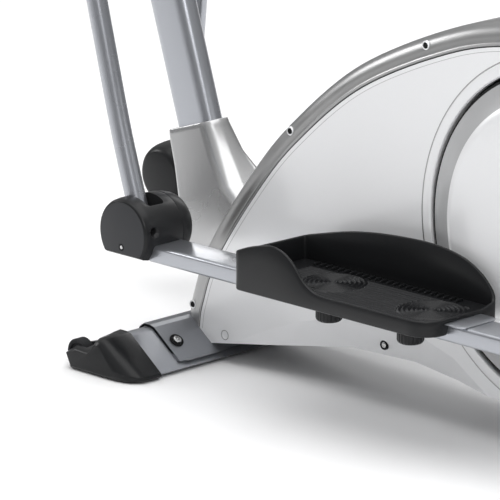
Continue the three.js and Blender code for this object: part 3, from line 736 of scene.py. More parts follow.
def makePedalArms():
    s = armSet
    low, high = Vector((s["start"], -s["near"], s["bottom"])), Vector((s["end"], -s["far"], s["top"]))
    bar = block("armBar", low * mm, high * mm, 5 * mm, 4)
    pinX, pinZ = s["reach"] * mm, pinRise
    heel = [
        (0.790, -0.016), (0.846, -0.037), (0.868, -0.032), (pinX + 0.026, pinZ - 0.010),
        (pinX + 0.022, pinZ + 0.016), (pinX - 0.018, pinZ + 0.024), (0.842, pinZ + 0.006),
    ]
    bracket = platePiece("heel", [heel], -0.215, -0.167, 2 * mm)
    housing = turned("housing", [
        (0.0125, -0.030), (0.024, -0.030), (0.027, -0.027), (0.027, 0.031), (0.025, 0.034), (0.0125, 0.034),
    ], (pinX, -0.191, pinZ))
    cap = turned("endCap", [
        (0, -0.0315), (0.014, -0.0315), (0.019, -0.0305), (0.019, -0.029), (0, -0.029),
    ], (pinX, -0.191, pinZ))
    arm = joined("pedalArm", bar, bracket, housing)
    onBothSides(arm, "pedalArmTube", "pedal", "silver_paint", ["pedal_arm"], angle=40)
    onBothSides(cap, "heelCap", "pedal", "black_plastic")
    outline = roundedOutline((0.560, -0.228), (0.668, -0.154), (0.012, 0.004, 0.004, 0.012))
    plate = platePiece("pedalPlate", [outline], -0.0129, -0.0110, 0.6 * mm, plan=True)
    onBothSides(plate, "pedalPlate", "pedal", "silver_paint")
    print("pedal arms made")


# Knuckle covers
# Stations list (y, radius, floor), from the face on the outside to the inner end.
knuckleSet = {
    "stations": [
        (-236.4, 47.2, -31), (-235.8, 48.4, -32), (-234, 49.8, -33.5), (-231, 51, -35), (-222, 52, -37),
        (-190, 51.6, -39.5), (-160.6, 50, -42), (-160.2, 49.2, -41.4), (-159.4, 49.2, -41.4),
        (-159.0, 49.8, -42), (-150, 48.6, -42), (-142, 46.4, -42), (-136, 43.4, -41),
        (-132, 39.5, -39), (-130.6, 35, -36),
    ],
    "faceRadius": 46.2, "faceFloor": -29.8, "slotY": -196, "slotHalf": 0.0175, "slotFoot": 0.012,
    "slotReach": 0.075, "slotTurn": (-17.4, 16.4), "holeY": -0.2195, "holeZ": 0.0085,
    "screwX": -0.002, "screwZ": -0.0215,
}


def knuckleRing(y, radius, floor, count=96):
    ring = []
    for i in range(count):
        angle = 2 * math.pi * i / count
        x, z = radius * math.cos(angle), radius * math.sin(angle)
        if z < 0:
            x *= 1 + 0.10 * (z / radius) ** 2
        ring.append(Vector((x * mm, y * mm, max(z, floor) * mm)))
    return ring


def makeKnuckles():
    s = knuckleSet
    cover = loftPiece("knuckle", [knuckleRing(*station) for station in s["stations"]])
    fore, aft = (math.radians(turn) for turn in s["slotTurn"])
    reach, half, foot = s["slotReach"], s["slotHalf"], s["slotFoot"]
    slotOutline = [
        (foot * math.sin(fore) - half * math.cos(fore), foot + half * math.sin(fore)),
        (reach * math.sin(fore) - half * math.cos(fore), reach * math.cos(fore) + half * math.sin(fore)),
        (reach * math.sin(aft) + half * math.cos(aft), reach * math.cos(aft) - half * math.sin(aft)),
        (foot * math.sin(aft) + half * math.cos(aft), foot - half * math.sin(aft)),
    ]
    slotCutter = platePiece("slotCutter", [slotOutline], s["slotY"] * mm - half, s["slotY"] * mm + half)
    bevel(slotCutter, 0.006, 3, 60)
    hole = turned("holeCutter", [
        (0, 0.03), (0.0045, 0.03), (0.0055, 0.0475), (0.0115, 0.0535), (0.0115, 0.06), (0, 0.06),
    ], (0, s["holeY"], s["holeZ"]), "X", 24)
    carve(cover, slotCutter, hole)
    bevel(cover, 0.0008, 2, 40)
    cover.data.materials.append(finishes["black_plastic"])
    # Faces inside the slot and the side hole get the second, near-black material: painted shade inside these
    # openings.
    for face in cover.data.polygons:
        middle = face.center
        reach = math.hypot(middle.x, middle.z)
        inSlot = abs(middle.y - s["slotY"] * mm) < half + 0.0002 and middle.z > 0.008 and reach < 0.0495
        inHole = math.hypot(middle.y - s["holeY"], middle.z - s["holeZ"]) < 0.0056 and middle.x > 0.02
        face.material_index = 1 if inSlot or inHole else 0
    covers = onBothSides(cover, "knuckleCover", "pedal", "black_plastic", ["knuckle_cover"], angle=30)
    for made in covers:
        made.data.materials.append(finishes["paintedGapShade"])
    face = [(p.x, p.z) for p in knuckleRing(0, s["faceRadius"], s["faceFloor"])]
    disc = platePiece("knuckleFace", [face], -0.2372, -0.2350, 0.0006)
    onBothSides(disc, "knuckleFace", "pedal", "black_plastic", material="greyPlastic")
    place = (s["screwX"], -0.2368, s["screwZ"])
    profile = [(0, -0.0008), (0.0022, -0.0008), (0.0032, 0), (0.0032, 0.001)]
    screw = turned("faceScrew", profile, place, "Y", 20)
    onBothSides(screw, "knuckleScrew", "pedal", "steel")
    # A near-black ring round the face screw: painted shade of the well it sits in.
    well = turned("faceWell", [
        (0.0035, -0.0002), (0.0055, -0.0002), (0.0055, 0.001), (0.0035, 0.001), (0.0035, -0.0002),
    ], (s["screwX"], -0.2372, s["screwZ"]), "Y", 24)
    onBothSides(well, "knuckleWell", "pedal", "black_plastic", material="paintedGapShade")
    print("knuckle covers made")


# Swing arms, handles and grips
swingSet = {
    "bow": [(0, -842), (-3, -713), (0, -570), (3.5, -420), (2.5, -260), (0, -120), (0, 0), (0, 62)],
    "handleRun": [(0, 62.5), (0, 110), (-42, 230), (18, 430), (70, 555)],
    "gripRun": [(-25, 286.7), (18, 430), (69.5, 553.8)],
    "tube": 15.5, "y": -196, "handle": 14, "grip": 18.2, "bend": 26, "gripStep": 4,
}


def makeSwingArms():
    s = swingSet
    y = s["y"] * mm
    spine = [Vector((x * mm, y, z * mm)) for x, z in s["bow"]]
    tube = tubePiece("swingTube", splineThrough(spine, 10), s["tube"] * mm)
    hub = turned("swingHub", [
        (0.0125, -0.023), (0.024, -0.023), (0.026, -0.021), (0.026, 0.021),
        (0.024, 0.023), (0.0125, 0.023), (0.0125, -0.023),
    ], (0, y, 0))
    arm = joined("swingArm", tube, hub)
    onBothSides(arm, "swingArmTube", "swing", "silver_paint", ["swing_arm"], angle=40)
    cap = turned("pivotCap", [
        (0, -0.034), (0.012, -0.0335), (0.019, -0.031), (0.0235, -0.026), (0.0245, -0.0232), (0, -0.0232),
    ], (0, y, 0))
    onBothSides(cap, "pivotCap", "swing", "black_plastic")
    collar = turned("handleCollar", [
        (0.0145, -0.010), (0.0175, -0.010), (0.0185, -0.008), (0.0185, 0.010),
        (0.016, 0.014), (0.0142, 0.014), (0.0142, -0.010),
    ], (0, y, 0.060), "Z")
    onBothSides(collar, "handleCollar", "swing", "black_plastic")
    run = roundPath([(x * mm, y, z * mm) for x, z in s["handleRun"]], s["bend"] * mm, 12)
    handle = tubePiece("handleTube", run, s["handle"] * mm)
    onBothSides(handle, "handleTube", "swing", "silver_paint", ["swing_handle"], angle=40)
    print("swing arms made")


def makeSwingGrips():
    s = swingSet
    y = s["y"] * mm
    path = roundPath([(x * mm, y, z * mm) for x, z in s["gripRun"]], s["bend"] * mm, 24)
    section = circleOutline(0, 0, s["grip"] * mm, 32)
    dense = []
    for a, b in zip(path, path[1:]):
        count = max(int((b - a).length / (s["gripStep"] * mm)), 1)
        dense += [a.lerp(b, i / count) for i in range(count)]
    dense.append(path[-1])
    grip = sideSweep("grip", dense, section)
    bevel(grip, 0.004, 3, 60)
    for made in onBothSides(grip, "swingGrip", "swing", "rubber", ["swing_grip"], angle=50):
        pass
    print("grips made")


# Mast, pivot axle and boot
mastSet = {"long": 80, "wide": 40, "foot": (-42, 222), "lean": 17.8, "top": 1330, "trim": 190}


def mastPath():
    s = mastSet
    footX, footZ = s["foot"]
    pivotX = (swingPivot.x - frontX) / mm
    bendZ = footZ + (footX - pivotX) / math.tan(math.radians(s["lean"]))
    foot = (machineX(footX), 0, footZ * mm)
    corners = [foot, (swingPivot.x, 0, bendZ * mm), (swingPivot.x, 0, s["top"] * mm)]
    return roundPath(corners, s["trim"] * mm, 24)


def mastAxisAt(z):
    s = mastSet
    return s["foot"][0] - (z - s["foot"][1]) * math.tan(math.radians(s["lean"]))


def makeMast():
    s = mastSet
    section = [(a * mm, b * mm) for a, b in ovalOutline(s["long"], s["wide"], 16)]
    mast = sideSweep("mastTube", mastPath(), section)
    finishPiece(mast, "frame", "silver_paint", None, ["mast"], 40)
    pivot = (swingPivot.x, 0, swingPivot.z)
    axle = turned("pivotAxle", [
        (0, -0.2215), (0.0105, -0.2215), (0.012, -0.220), (0.012, 0.220), (0.0105, 0.2215), (0, 0.2215),
    ], pivot)
    finishPiece(axle, "frame", "steel", None, ["pivot_axle"])
    for side, sign in sides:
        sleeve = turned("axleSleeve", [
            (0.0122, 0.0205), (0.024, 0.0205), (0.0255, 0.023), (0.0175, 0.060),
            (0.0165, 0.165), (0.0155, 0.171), (0.0122, 0.171),
        ], pivot)
        if sign < 0:
            mirrored(sleeve)
        sleeve.name = "axleSleeve_" + side
        finishPiece(sleeve, "frame", "black_plastic")
    print("mast made")


# Levels list (x, z, length, width, lean, corner radius), from the shell up to the mast.
bootSet = {
    "levels": [
        (52, 170, 176, 122, 0.70, 26), (8, 200, 152, 112, 0.52, 26), (-26, 238, 124, 88, 0.38, 27),
        (-54, 282, 106, 66, 0.33, 27), (-75, 324, 97, 55.5, 0.311, 25), (-77.6, 332, 94.5, 53, 0.311, 24),
    ],
    "rearCorner": 8, "wall": 3, "sealGrowth": 5, "seal": (322, 329),
}


def bootRing(level, shrink):
    x, z, long, wide, turn, radius = level
    corner = (long / 2 - shrink, wide / 2 - shrink)
    radii = (radius - shrink, bootSet["rearCorner"], bootSet["rearCorner"], radius - shrink)
    ring = []
    for a, b in roundedOutline((-corner[0], -corner[1]), corner, radii):
        ring.append(Vector((machineX(x + a * math.cos(turn)), b * mm, (z + a * math.sin(turn)) * mm)))
    return ring


def makeBoot():
    s = bootSet
    outer = [bootRing(level, 0) for level in s["levels"]]
    inner = [bootRing(level, s["wall"]) for level in reversed(s["levels"])]
    boot = loftPiece("boot", outer + inner, closed=True)
    bevel(boot, 0.0012, 2, 50)
    finishPiece(boot, "frame", "shell_silver", "bootSilver", ["mast_boot"], 40)
    # A near-black band round the mast at the top of the boot: a rubber seal, its colour darkened as painted shade
    # of the gap where the mast goes in.
    long, wide = mastSet["long"] + s["sealGrowth"], mastSet["wide"] + s["sealGrowth"]
    section = [(a * mm, b * mm) for a, b in ovalOutline(long, wide, 16)]
    run = [Vector((machineX(mastAxisAt(z)), 0, z * mm)) for z in s["seal"]]
    seal = sideSweep("bootSeal", run, section)
    finishPiece(seal, "frame", "rubber", "paintedGapShade")
    print("boot made")


# Shell, rim band and discs
shellSet = {
    "half": 85, "band": 34, "wall": 3, "depth": 0.36, "flangeY": -46,
    "rim": [
        (-28, 52), (-20, 92), (13, 173), (96, 291), (184, 389), (323, 498), (508, 580), (650, 610),
        (790, 625), (930, 603), (1050, 542), (1132, 440), (1158, 310), (1146, 180), (1118, 60),
    ],
    "belly": [(76, 34), (150, 45), (220, 57), (307, 72), (430, 75), (520, 67), (587, 61)],
    "crease": [(76, 34), (150, 71), (220, 97), (307, 122), (430, 130), (520, 104), (587, 61)],
    "floorFront": (10, 22), "floorRear": [(1085, 46), (860, 52)], "opening": 241, "boltHole": (60, 44, 4.8),
    # Seams: the first is a near-black strip at the band's inner edge, painted shade of the gap between band and
    # shell; the second is a thin grey strip on the shell, painted shade of the groove that bounds the side panel.
    "seams": [
        ("rimSeam", 33.8, 34.9, "black_plastic", "paintedGapShade"),
        ("shellLine", 40.5, 41.3, "satin_band", "bandGrey"),
    ],
}


def insetRim(distance):
    line = splineThrough([Vector((x, z, 0)) for x, z in shellSet["rim"]], 10)
    inset = []
    for i, p in enumerate(line):
        along = (line[min(i + 1, len(line) - 1)] - line[max(i - 1, 0)]).normalized()
        inset.append((p.x + along.y * distance, p.y - along.x * distance))
    return inset


# A section of (inset, y) corners carried along the whole rim.
def alongRim(name, section):
    lines = {inset: insetRim(inset) for inset, _ in section}
    edges = [[Vector((machineX(x), y * mm, z * mm)) for x, z in lines[inset]] for inset, y in section]
    return loftPiece(name, list(zip(*edges)))


def inMetres(outline):
    return [(machineX(x), z * mm) for x, z in outline]


def makeFacet():
    s = shellSet
    half, wall = s["half"], s["wall"]
    points, faces = [], []
    for (x, high), (_, low) in zip(s["crease"], s["belly"]):
        depth = s["depth"] * (high - low)
        for y, z in ((0, high), (depth, low), (wall, high), (depth + wall, low)):
            points.append(Vector((machineX(x), (y - half) * mm, z * mm)))
    for i in range(len(s["crease"]) - 1):
        a, b = 4 * i, 4 * i + 4
        faces += [(a, b, b + 1, a + 1), (a + 2, a + 3, b + 3, b + 2)]
        faces += [(a + 1, b + 1, b + 3, a + 3), (a, a + 2, b + 2, b)]
    return tidyNormals(meshPiece("facet", points, faces))


def discRingPiece(name, profile):
    return turned(name, profile, (crankCentre.x, -shellSet["half"] * mm, crankCentre.z), "Y", 160)


def makeShells():
    s = shellSet
    half, band, wall = s["half"], s["band"], s["wall"]
    side = insetRim(band + 0.5) + s["floorRear"] + list(reversed(s["crease"])) + [s["floorFront"]]
    crankX, crankZ = (crankCentre.x - frontX) / mm, crankCentre.z / mm
    opening = circleOutline(crankX, crankZ, s["opening"], 128)
    boltHole = circleOutline(*s["boltHole"], 24)
    outlines = [inMetres(outline) for outline in (side, opening, boltHole)]
    face = platePiece("shellFace", outlines, -half * mm, (wall - half) * mm)
    near, far, edge, deep = band + 0.8, band + 0.8 + wall, 1 - half, s["flangeY"]
    flange = alongRim("shellFlange", [(near, edge), (near, deep), (far, deep), (far, edge)])
    shell = joined("shell", face, makeFacet(), flange)
    onBothSides(shell, "shellSide", "frame", "shell_silver", ["shell"], angle=25)
    ring = discRingPiece("discRing", [
        (0.2415, 0.010), (0.2415, -0.0016), (0.2425, -0.0026), (0.2445, -0.0030), (0.2570, -0.0012),
        (0.2585, 0.0002), (0.2592, 0.0006), (0.2592, 0.002), (0.2415, 0.010),
    ])
    onBothSides(ring, "discRing", "frame", "shell_silver", angle=30)
    # A thin grey ring just outside the disc ring: painted shade of the groove round it.
    groove = discRingPiece("ringGrooveShade", [
        (0.2588, -0.0002), (0.2606, -0.0002), (0.2606, 0.001), (0.2588, 0.001), (0.2588, -0.0002),
    ])
    onBothSides(groove, "ringGrooveShade", "frame", "satin_band")
    print("shell halves made")


def makeRimBand():
    s = shellSet
    half, band = s["half"], s["band"]
    outside = [
        (band, 0.4), (band - 1.2, -0.6), (band - 4.0, -0.6), (band - 5.2, 0.2), (band - 6.4, 0.6),
        (band - 12, 0.8), (18, 1.4), (10, 4), (4.5, 9), (1.4, 16), (0.2, 26), (0, 45),
    ]
    inside = [(band, 4), (12, 6), (5, 16)]
    section = [(inset, y - half) for inset, y in outside]
    section += [(inset, half - y) for inset, y in reversed(outside)]
    section += [(inset, half - y) for inset, y in inside] + [(3, 0)]
    section += [(inset, y - half) for inset, y in reversed(inside)]
    finishPiece(alongRim("rimBand", section), "frame", "satin_band", None, ["rim_cover"], 30)
    for name, near, far, slotName, material in s["seams"]:
        proud, deep = -half - 0.1, 1.5 - half
        seam = alongRim(name, [(far, proud), (near, proud), (near, deep), (far, deep)])
        onBothSides(seam, name, "frame", slotName, material=material)
    print("rim band made")


screwSet = {
    "rimSpots": [(-10, 76), (190, 393), (457, 563), (900, 622), (1154, 350)], "inset": 14, "rimY": -83.1,
    "facetSpot": (375, -74.2, 91), "holeSpot": (60, -85, 44),
}


def ringPiece(name, profile, place, steps, slotName, material=None):
    ring = turned(name, profile + profile[:1], place, "Y", steps)
    onBothSides(ring, name, "frame", slotName, material=material)


def makeScrews():
    s = screwSet
    line = insetRim(s["inset"])
    for number, (x, z) in enumerate(s["rimSpots"]):
        spot = min(line, key=lambda p: math.hypot(p[0] - x, p[1] - z))
        place = (machineX(spot[0]), s["rimY"] * mm, spot[1] * mm)
        # A near-black disc under each rim screw: painted shade of the screw's well.
        well = turned("rimWell", [
            (0, -0.0008), (0.0044, -0.0008), (0.0048, 0.0004), (0.0048, 0.003), (0, 0.003),
        ], place, "Y", 24)
        onBothSides(well, f"rimScrewWell{number}", "frame", "black_plastic", material="paintedGapShade")
        ringPiece(f"rimScrewEdge{number}", [
            (0.0046, -0.0009), (0.0058, -0.0016), (0.0068, -0.0004), (0.0068, 0.003), (0.0046, 0.003),
        ], place, 24, "shell_silver")
    place = (machineX(s["facetSpot"][0]), s["facetSpot"][1] * mm, s["facetSpot"][2] * mm)
    # A near-black ring round the facet screw: painted shade of its well.
    ringPiece("facetWell", [
        (0.0045, -0.0006), (0.0070, -0.0006), (0.0074, 0.0002), (0.0074, 0.004), (0.0045, 0.004),
    ], place, 28, "black_plastic", "paintedGapShade")
    onBothSides(crossScrew("facetScrew", place, 0.0052), "facetScrew", "frame", "steel")
    place = (machineX(s["holeSpot"][0]), s["holeSpot"][1] * mm, s["holeSpot"][2] * mm)
    washer = turned("holeWasher", [
        (0, 0.0012), (0.0046, 0.0008), (0.0052, -0.0004), (0.0064, -0.0004), (0.0070, 0.0006), (0, 0.003),
    ], place, "Y", 28)
    onBothSides(washer, "shellHoleWasher", "frame", "shell_silver")
    ringPiece("shellHoleShade", [
        (0.0066, -0.0003), (0.0078, -0.0003), (0.0078, 0.001), (0.0066, 0.001),
    ], place, 28, "satin_band")
    print("screws made")


def crossScrew(name, place, radius):
    head = turned(name, [
        (0, -0.0012), (radius * 0.6, -0.0011), (radius, 0.0002), (radius, 0.002), (0, 0.002),
    ], place, "Y", 28)
    x, y, z = place
    arm, half = radius * 0.6, radius * 0.14
    for wide, high in ((arm, half), (half, arm)):
        carve(head, block("slotCutter", (x - wide, y - 0.003, z - high), (x + wide, y - 0.0004, z + high)))
    return head


# Disc parts, each with its slot, its material and its profile of (radius, y) stops.
discSet = {
    "crankDisc": ("shell_silver", None, [
        (14, 101.6), (26, 103.4), (150, 104), (188, 101.6), (199, 98.6), (201, 97),
    ]),
    "discBand": ("shell_silver", "bandGrey", [(201, 97.2), (203, 96.4), (223, 90.4), (232, 88.4)]),
    # The lip is near black: painted shade of the gap between the disc and the shell's ring.
    "discLip": ("black_plastic", "paintedGapShade", [(232, 88.2), (235, 87.4), (236, 85.4)]),
}
discThick = 2.6
crankSet = {"pinEnd": 27, "axleEnd": 29, "outside": -133.8, "inside": -110.5}


def makeDiscs():
    for name, (slotName, material, stops) in discSet.items():
        outer = [(r * mm, -y * mm) for r, y in stops]
        inner = [(r * mm, (discThick - y) * mm) for r, y in reversed(stops)]
        dish = turned(name, outer + inner + outer[:1], (crankCentre.x, 0, crankCentre.z), "Y", 160)
        stands = ["crank_disc"] if name == "crankDisc" else []
        onBothSides(dish, name, "crank", slotName, stands, material, 30)
    print("discs made")


def makeCranks():
    s = crankSet
    for side, sign in sides:
        pin = middleOf("crank_pin_" + side)
        reach = Vector((pin.x - crankCentre.x, 0, pin.z - crankCentre.z))
        outline = []
        for centre, radius, start in ((reach.length, s["pinEnd"] * mm, -1), (0, s["axleEnd"] * mm, 1)):
            for i in range(17):
                turn = start * math.pi / 2 + math.pi * i / 16
                outline.append((centre + radius * math.cos(turn), radius * math.sin(turn)))
        bar = platePiece("crankBar", [outline], s["outside"] * mm, s["inside"] * mm, 0.003)
        boss = turned("crankBoss", [
            (0, -0.1365), (0.012, -0.1365), (0.0165, -0.1350), (0.0165, -0.1330), (0, -0.1330),
        ], (0, 0, 0), "Y", 40)
        for piece, name, slotName, stands in (
            (bar, "crankArmBar", "steel", ["crank_arm_" + side]), (boss, "crankBolt", "black_plastic", ()),
        ):
            piece.data.transform(Matrix.Rotation(-math.atan2(reach.z, reach.x), 4, "Y"))
            if sign > 0:
                mirrored(piece)
            piece.data.transform(Matrix.Translation((crankCentre.x, 0, crankCentre.z)))
            piece.name = f"{name}_{side}"
            finishPiece(piece, "crank", slotName, None, stands)
    print("crank arms made")


# Stabilisers
frontProfile = [(46, 4), (50, 6), (-13, 53), (-20, 55), (-31, 55), (-38, 50), (-57, 12), (-52, 4)]
faceRise, faceRun = frontProfile[2][1] - frontProfile[1][1], frontProfile[1][0] - frontProfile[2][0]
faceLean = math.atan2(faceRise, faceRun)


# A convex outline with every edge moved outwards, in the frame's metres.
def grown(corners, distance):
    edges = []
    for (x, z), (nextX, nextZ) in zip(corners, corners[1:] + corners[:1]):
        out = Vector((nextZ - z, x - nextX)).normalized()
        edges.append((out, x * out.x + z * out.y + distance))
    outline = []
    for (before, reach), (after, reachAfter) in zip(edges[-1:] + edges[:-1], edges):
        turn = before.x * after.y - before.y * after.x
        x = (reach * after.y - reachAfter * before.y) / turn
        z = (reachAfter * before.x - reach * after.x) / turn
        outline.append((machineX(x), z * mm))
    return outline


rearSet = {"x": 1062, "z": 41, "long": 90, "high": 50}


def rearOutline(grow):
    s = rearSet
    oval = ovalOutline(s["long"] + 2 * grow, s["high"] + 2 * grow, 16)
    return [(machineX(s["x"] + a), (s["z"] + b) * mm) for a, b in oval]


def frontOutline(grow):
    return grown(frontProfile, grow)


tubeSet = {
    "front": {"outline": frontOutline, "end": 240, "saddle": 163, "low": 16, "corner": 12},
    "rear": {"outline": rearOutline, "end": 232, "saddle": 90, "low": 27, "corner": 8},
}
saddleWall = (0.5, 4.2)


def roundSaddleCorners(saddle, half, low, corner):
    only(saddle)
    bpy.ops.object.mode_set(mode="EDIT")
    bpy.ops.mesh.select_all(action="DESELECT")
    bpy.ops.object.mode_set(mode="OBJECT")
    for edge in saddle.data.edges:
        ends = [saddle.data.vertices[i].co for i in edge.vertices]
        atEnd = all(abs(abs(p.y) - half * mm) < 1e-5 for p in ends)
        edge.select = atEnd and all(abs(p.z - low * mm) < 1e-5 for p in ends)
    bpy.ops.object.mode_set(mode="EDIT")
    bpy.ops.mesh.select_mode(type="EDGE")
    bpy.ops.mesh.bevel(offset=corner * mm, segments=6)
    bpy.ops.mesh.select_mode(type="VERT")
    bpy.ops.object.mode_set(mode="OBJECT")


def makeStabilisers():
    for name, s in tubeSet.items():
        tube = platePiece(name + "Tube", [s["outline"](0)], -s["end"] * mm, s["end"] * mm)
        bevel(tube, 0.003, 3, 12)
        finishPiece(tube, "frame", "frame_paint", None, [name + "_stabiliser"], 40)
        half, low = s["saddle"] * mm, s["low"] * mm
        saddle = platePiece(name + "Saddle", [s["outline"](saddleWall[1])], -half, half)
        inner = platePiece("saddleRoom", [s["outline"](saddleWall[0])], -half - 0.01, half + 0.01)
        below = block("saddleLow", (-2, -1, -0.1), (2, 1, low))
        carve(saddle, inner, below)
        roundSaddleCorners(saddle, s["saddle"], s["low"], s["corner"])
        bevel(saddle, 0.0012, 2, 20)
        finishPiece(saddle, "frame", "frame_paint", None, (), 40)
    print("stabilisers made")


# Stations list a cap's outline at each y, from the tube out to the rounded end.
capSet = {
    "stations": [
        (-211, [
            (-60, 0), (48, 0), (55, 5), (54, 10), (-10, 58), (-19, 60),
            (-33, 60), (-44, 52), (-62, 16), (-63, 7),
        ]),
        (-226, [
            (-72, 0), (48, 0), (55, 5), (54, 10), (-10, 58), (-19, 60),
            (-32, 59), (-43, 47), (-70, 30), (-76, 16),
        ]),
        (-234, [
            (-84, 0), (47, 0), (55, 5), (54, 10), (-10, 58), (-19, 60),
            (-31, 58), (-42, 42), (-78, 37), (-92, 22),
        ]),
        (-247, [
            (-85, 0), (44, 0), (53, 5), (53, 10), (-11, 58), (-19, 60),
            (-30, 57), (-43, 38), (-75, 38), (-95, 24),
        ]),
        (-256, [
            (-85, 0), (37, 0), (46, 5), (46, 11), (-12, 56.5), (-19.5, 59),
            (-30, 56), (-43, 37), (-74, 37.5), (-95, 24),
        ]),
        (-262, [
            (-84, 0), (28, 0), (38, 5), (37, 12), (-13, 55), (-20, 57),
            (-29, 54), (-43, 36), (-73, 37), (-94, 24),
        ]),
        (-267, [
            (-82, 2), (14, 2), (26, 7), (25, 14), (-14.5, 52), (-20.5, 53.5),
            (-28.5, 51), (-43, 34), (-71.5, 35), (-92, 23.5),
        ]),
        (-270, [
            (-79, 6), (2, 6), (12, 10), (10, 16), (-17, 47), (-21, 48),
            (-28, 46), (-43, 31), (-69, 32), (-88, 23),
        ]),
    ],
    "slot": ((-130, -259, -20), (-55, -236, 90)),
}
# The hub lists (radius, distance in from the end face), and the rim (distance in from the tread, the same).
wheelSet = {
    "x": -80, "z": 23, "radius": 21, "inner": 236.8, "outer": 257.2,
    "hub": [(4.5, 2), (8, 2), (8.5, 3.5)], "rim": [(7, 3.5), (6, 1), (2, 0.3), (0, 2.5)],
}


def makeWheels():
    s = wheelSet
    half = [(r, depth) for r, depth in s["hub"]] + [(s["radius"] - inset, depth) for inset, depth in s["rim"]]
    profile = [(r * mm, (depth - s["outer"]) * mm) for r, depth in half]
    profile += [(r * mm, (-s["inner"] - depth) * mm) for r, depth in reversed(half)]
    for side, sign in sides:
        wheel = turned("wheel", profile + profile[:1], (machineX(s["x"]), 0, s["z"] * mm), "Y", 64)
        if sign > 0:
            mirrored(wheel)
        node = "transport_wheel_" + side
        wheel.name = "wheel_" + side
        finishPiece(wheel, node, "rubber", None, [node])


def makeFrontCaps():
    rings = []
    for y, outline in capSet["stations"]:
        rings.append([Vector((machineX(x), y * mm, z * mm)) for x, z in outline])
    cap = loftPiece("frontCap", rings)
    corners = [(machineX(x), y * mm, z * mm) for x, y, z in capSet["slot"]]
    carve(cap, block("wheelSlot", *corners))
    bevel(cap, 0.0016, 3, 28)
    onBothSides(cap, "frontCap", "frame", "black_plastic", ["front_cap"], angle=30)
    pin = turned("wheelPin", [(0, -0.2605), (0.004, -0.2605), (0.004, -0.2345), (0, -0.2345)],
                 (machineX(wheelSet["x"]), 0, wheelSet["z"] * mm), "Y", 24)
    onBothSides(pin, "wheelPin", "frame", "steel")
    makeWheels()
    print("front caps made")


# Levels list (distance in from the nearer end, radius) of a foot's grooved rim.
footSet = {
    "low": [(0, 19.5), (1, 21.2), (3, 22)], "high": [(3, 22), (1, 21), (0, 18)], "grooves": 20, "depth": 0.5,
}


def makeRearFeet():
    cap = platePiece("rearCap", [rearOutline(3.8)], -0.262, -0.215, 0.004)
    groove = platePiece("rearGroove", [rearOutline(4.5), rearOutline(3)], -0.2240, -0.2225)
    carve(cap, groove)
    onBothSides(cap, "rearCap", "frame", "black_plastic", ["rear_cap"], angle=40)
    s = footSet
    for side, _ in sides:
        node = "levelling_foot_" + side
        middle = middleOf(node)
        low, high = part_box(node)
        levels = [(low.z + inset * mm, radius) for inset, radius in s["low"]]
        levels += [(high.z - inset * mm, radius) for inset, radius in s["high"]]
        rings = []
        for z, radius in levels:
            ring = []
            for i in range(s["grooves"] * 6):
                angle = 2 * math.pi * i / (s["grooves"] * 6)
                reach = (radius - s["depth"] * max(math.cos(angle * s["grooves"]), 0)) * mm
                out = Vector((math.cos(angle), math.sin(angle), 0)) * reach
                ring.append(Vector((middle.x + out.x, middle.y + out.y, z)))
            rings.append(ring)
        foot = loftPiece("foot_" + side, rings)
        finishPiece(foot, node, "rubber", None, [node], 40)
    print("rear feet made")


def makeSaddleBolts():
    for side, _ in sides:
        node = "saddle_bolt_" + side
        head = turned("boltHead", [
            (0, 0.0008), (0.0030, 0.0008), (0.0034, 0.0026), (0.0062, 0.0022), (0.0066, 0.0012),
            (0.0066, -0.002), (0, -0.002),
        ], (0, 0, 0), "Z", 32)
        # A ring in the near-black material round each bolt head: painted shade of the bolt's well.
        well = turned("boltWell", [
            (0.0076, 0.0006), (0.0106, 0.0006), (0.0110, -0.0004), (0.0110, -0.002), (0.0076, -0.002),
            (0.0076, 0.0006),
        ], (0, 0, 0), "Z", 40)
        for piece, name, slotName, material, stands in (
            (head, "saddleBolt", "steel", None, [node]),
            (well, "saddleBoltWell", "frame_paint", "paintedGapShade", ()),
        ):
            piece.data.transform(Matrix.Translation(middleOf(node)) @ Matrix.Rotation(faceLean, 4, "Y"))
            piece.name = f"{name}_{side}"
            finishPiece(piece, "frame", slotName, material, stands)
    print("saddle bolts made")


# Fixed handlebar and pulse grips
barSet = {
    "end": (80, 1262), "bend": (-50, 1215), "back": (-178, 1190), "half": 150, "backHalf": 70, "trim": 34,
    "gripFrom": 0.3, "gripTo": 0.985, "bracketHalf": 24,
}


def makeHandlebar():
    s = barSet
    run = [("end", -s["half"]), ("bend", -s["half"]), ("back", -s["backHalf"])]
    run += [(name, -y) for name, y in reversed(run)]
    corners = [Vector((machineX(s[name][0]), y * mm, s[name][1] * mm)) for name, y in run]
    bar = tubePiece("barTube", roundPath(corners, s["trim"] * mm, 10), 0.0125)
    height, half = s["back"][1] * mm, s["bracketHalf"] * mm
    low = (swingPivot.x + 0.0395, -0.022, height - half)
    bracket = block("barBracket", low, (machineX(s["back"][0] + 4), 0.022, height + half), 0.005)
    finishPiece(joined("fixedBar", bar, bracket), "frame", "silver_paint", None, ["fixed_handlebar"], 40)
    end, start = corners[:2]
    low, high = start.lerp(end, s["gripFrom"]), start.lerp(end, s["gripTo"])
    direction, length = (high - low).normalized(), (high - low).length
    place = Matrix.Translation(low) @ Matrix.Rotation(-math.atan2(direction.z, direction.x), 4, "Y")
    grip = turned("pulseGrip", [
        (0.0128, 0), (0.0165, 0.0005), (0.0175, 0.003), (0.0175, length - 0.006),
        (0.016, length - 0.002), (0.012, length), (0, length + 0.0004),
    ], (0, 0, 0), "X", 48)
    grip.data.transform(place)
    for made in onBothSides(grip, "pulseGripFoam", "frame", "rubber", ["pulse_grip"], angle=40):
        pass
    plate = turned("pulsePlate", [
        (0.0176, 0.030), (0.0181, 0.031), (0.0181, 0.067), (0.0176, 0.068),
    ], (0, 0, 0), "X", 48)
    modify(plate, "SOLIDIFY", thickness=0.8 * mm, offset=-1)
    plate.data.transform(place)
    onBothSides(plate, "pulsePlate", "frame", "steel", angle=40)
    print("fixed handlebar made")


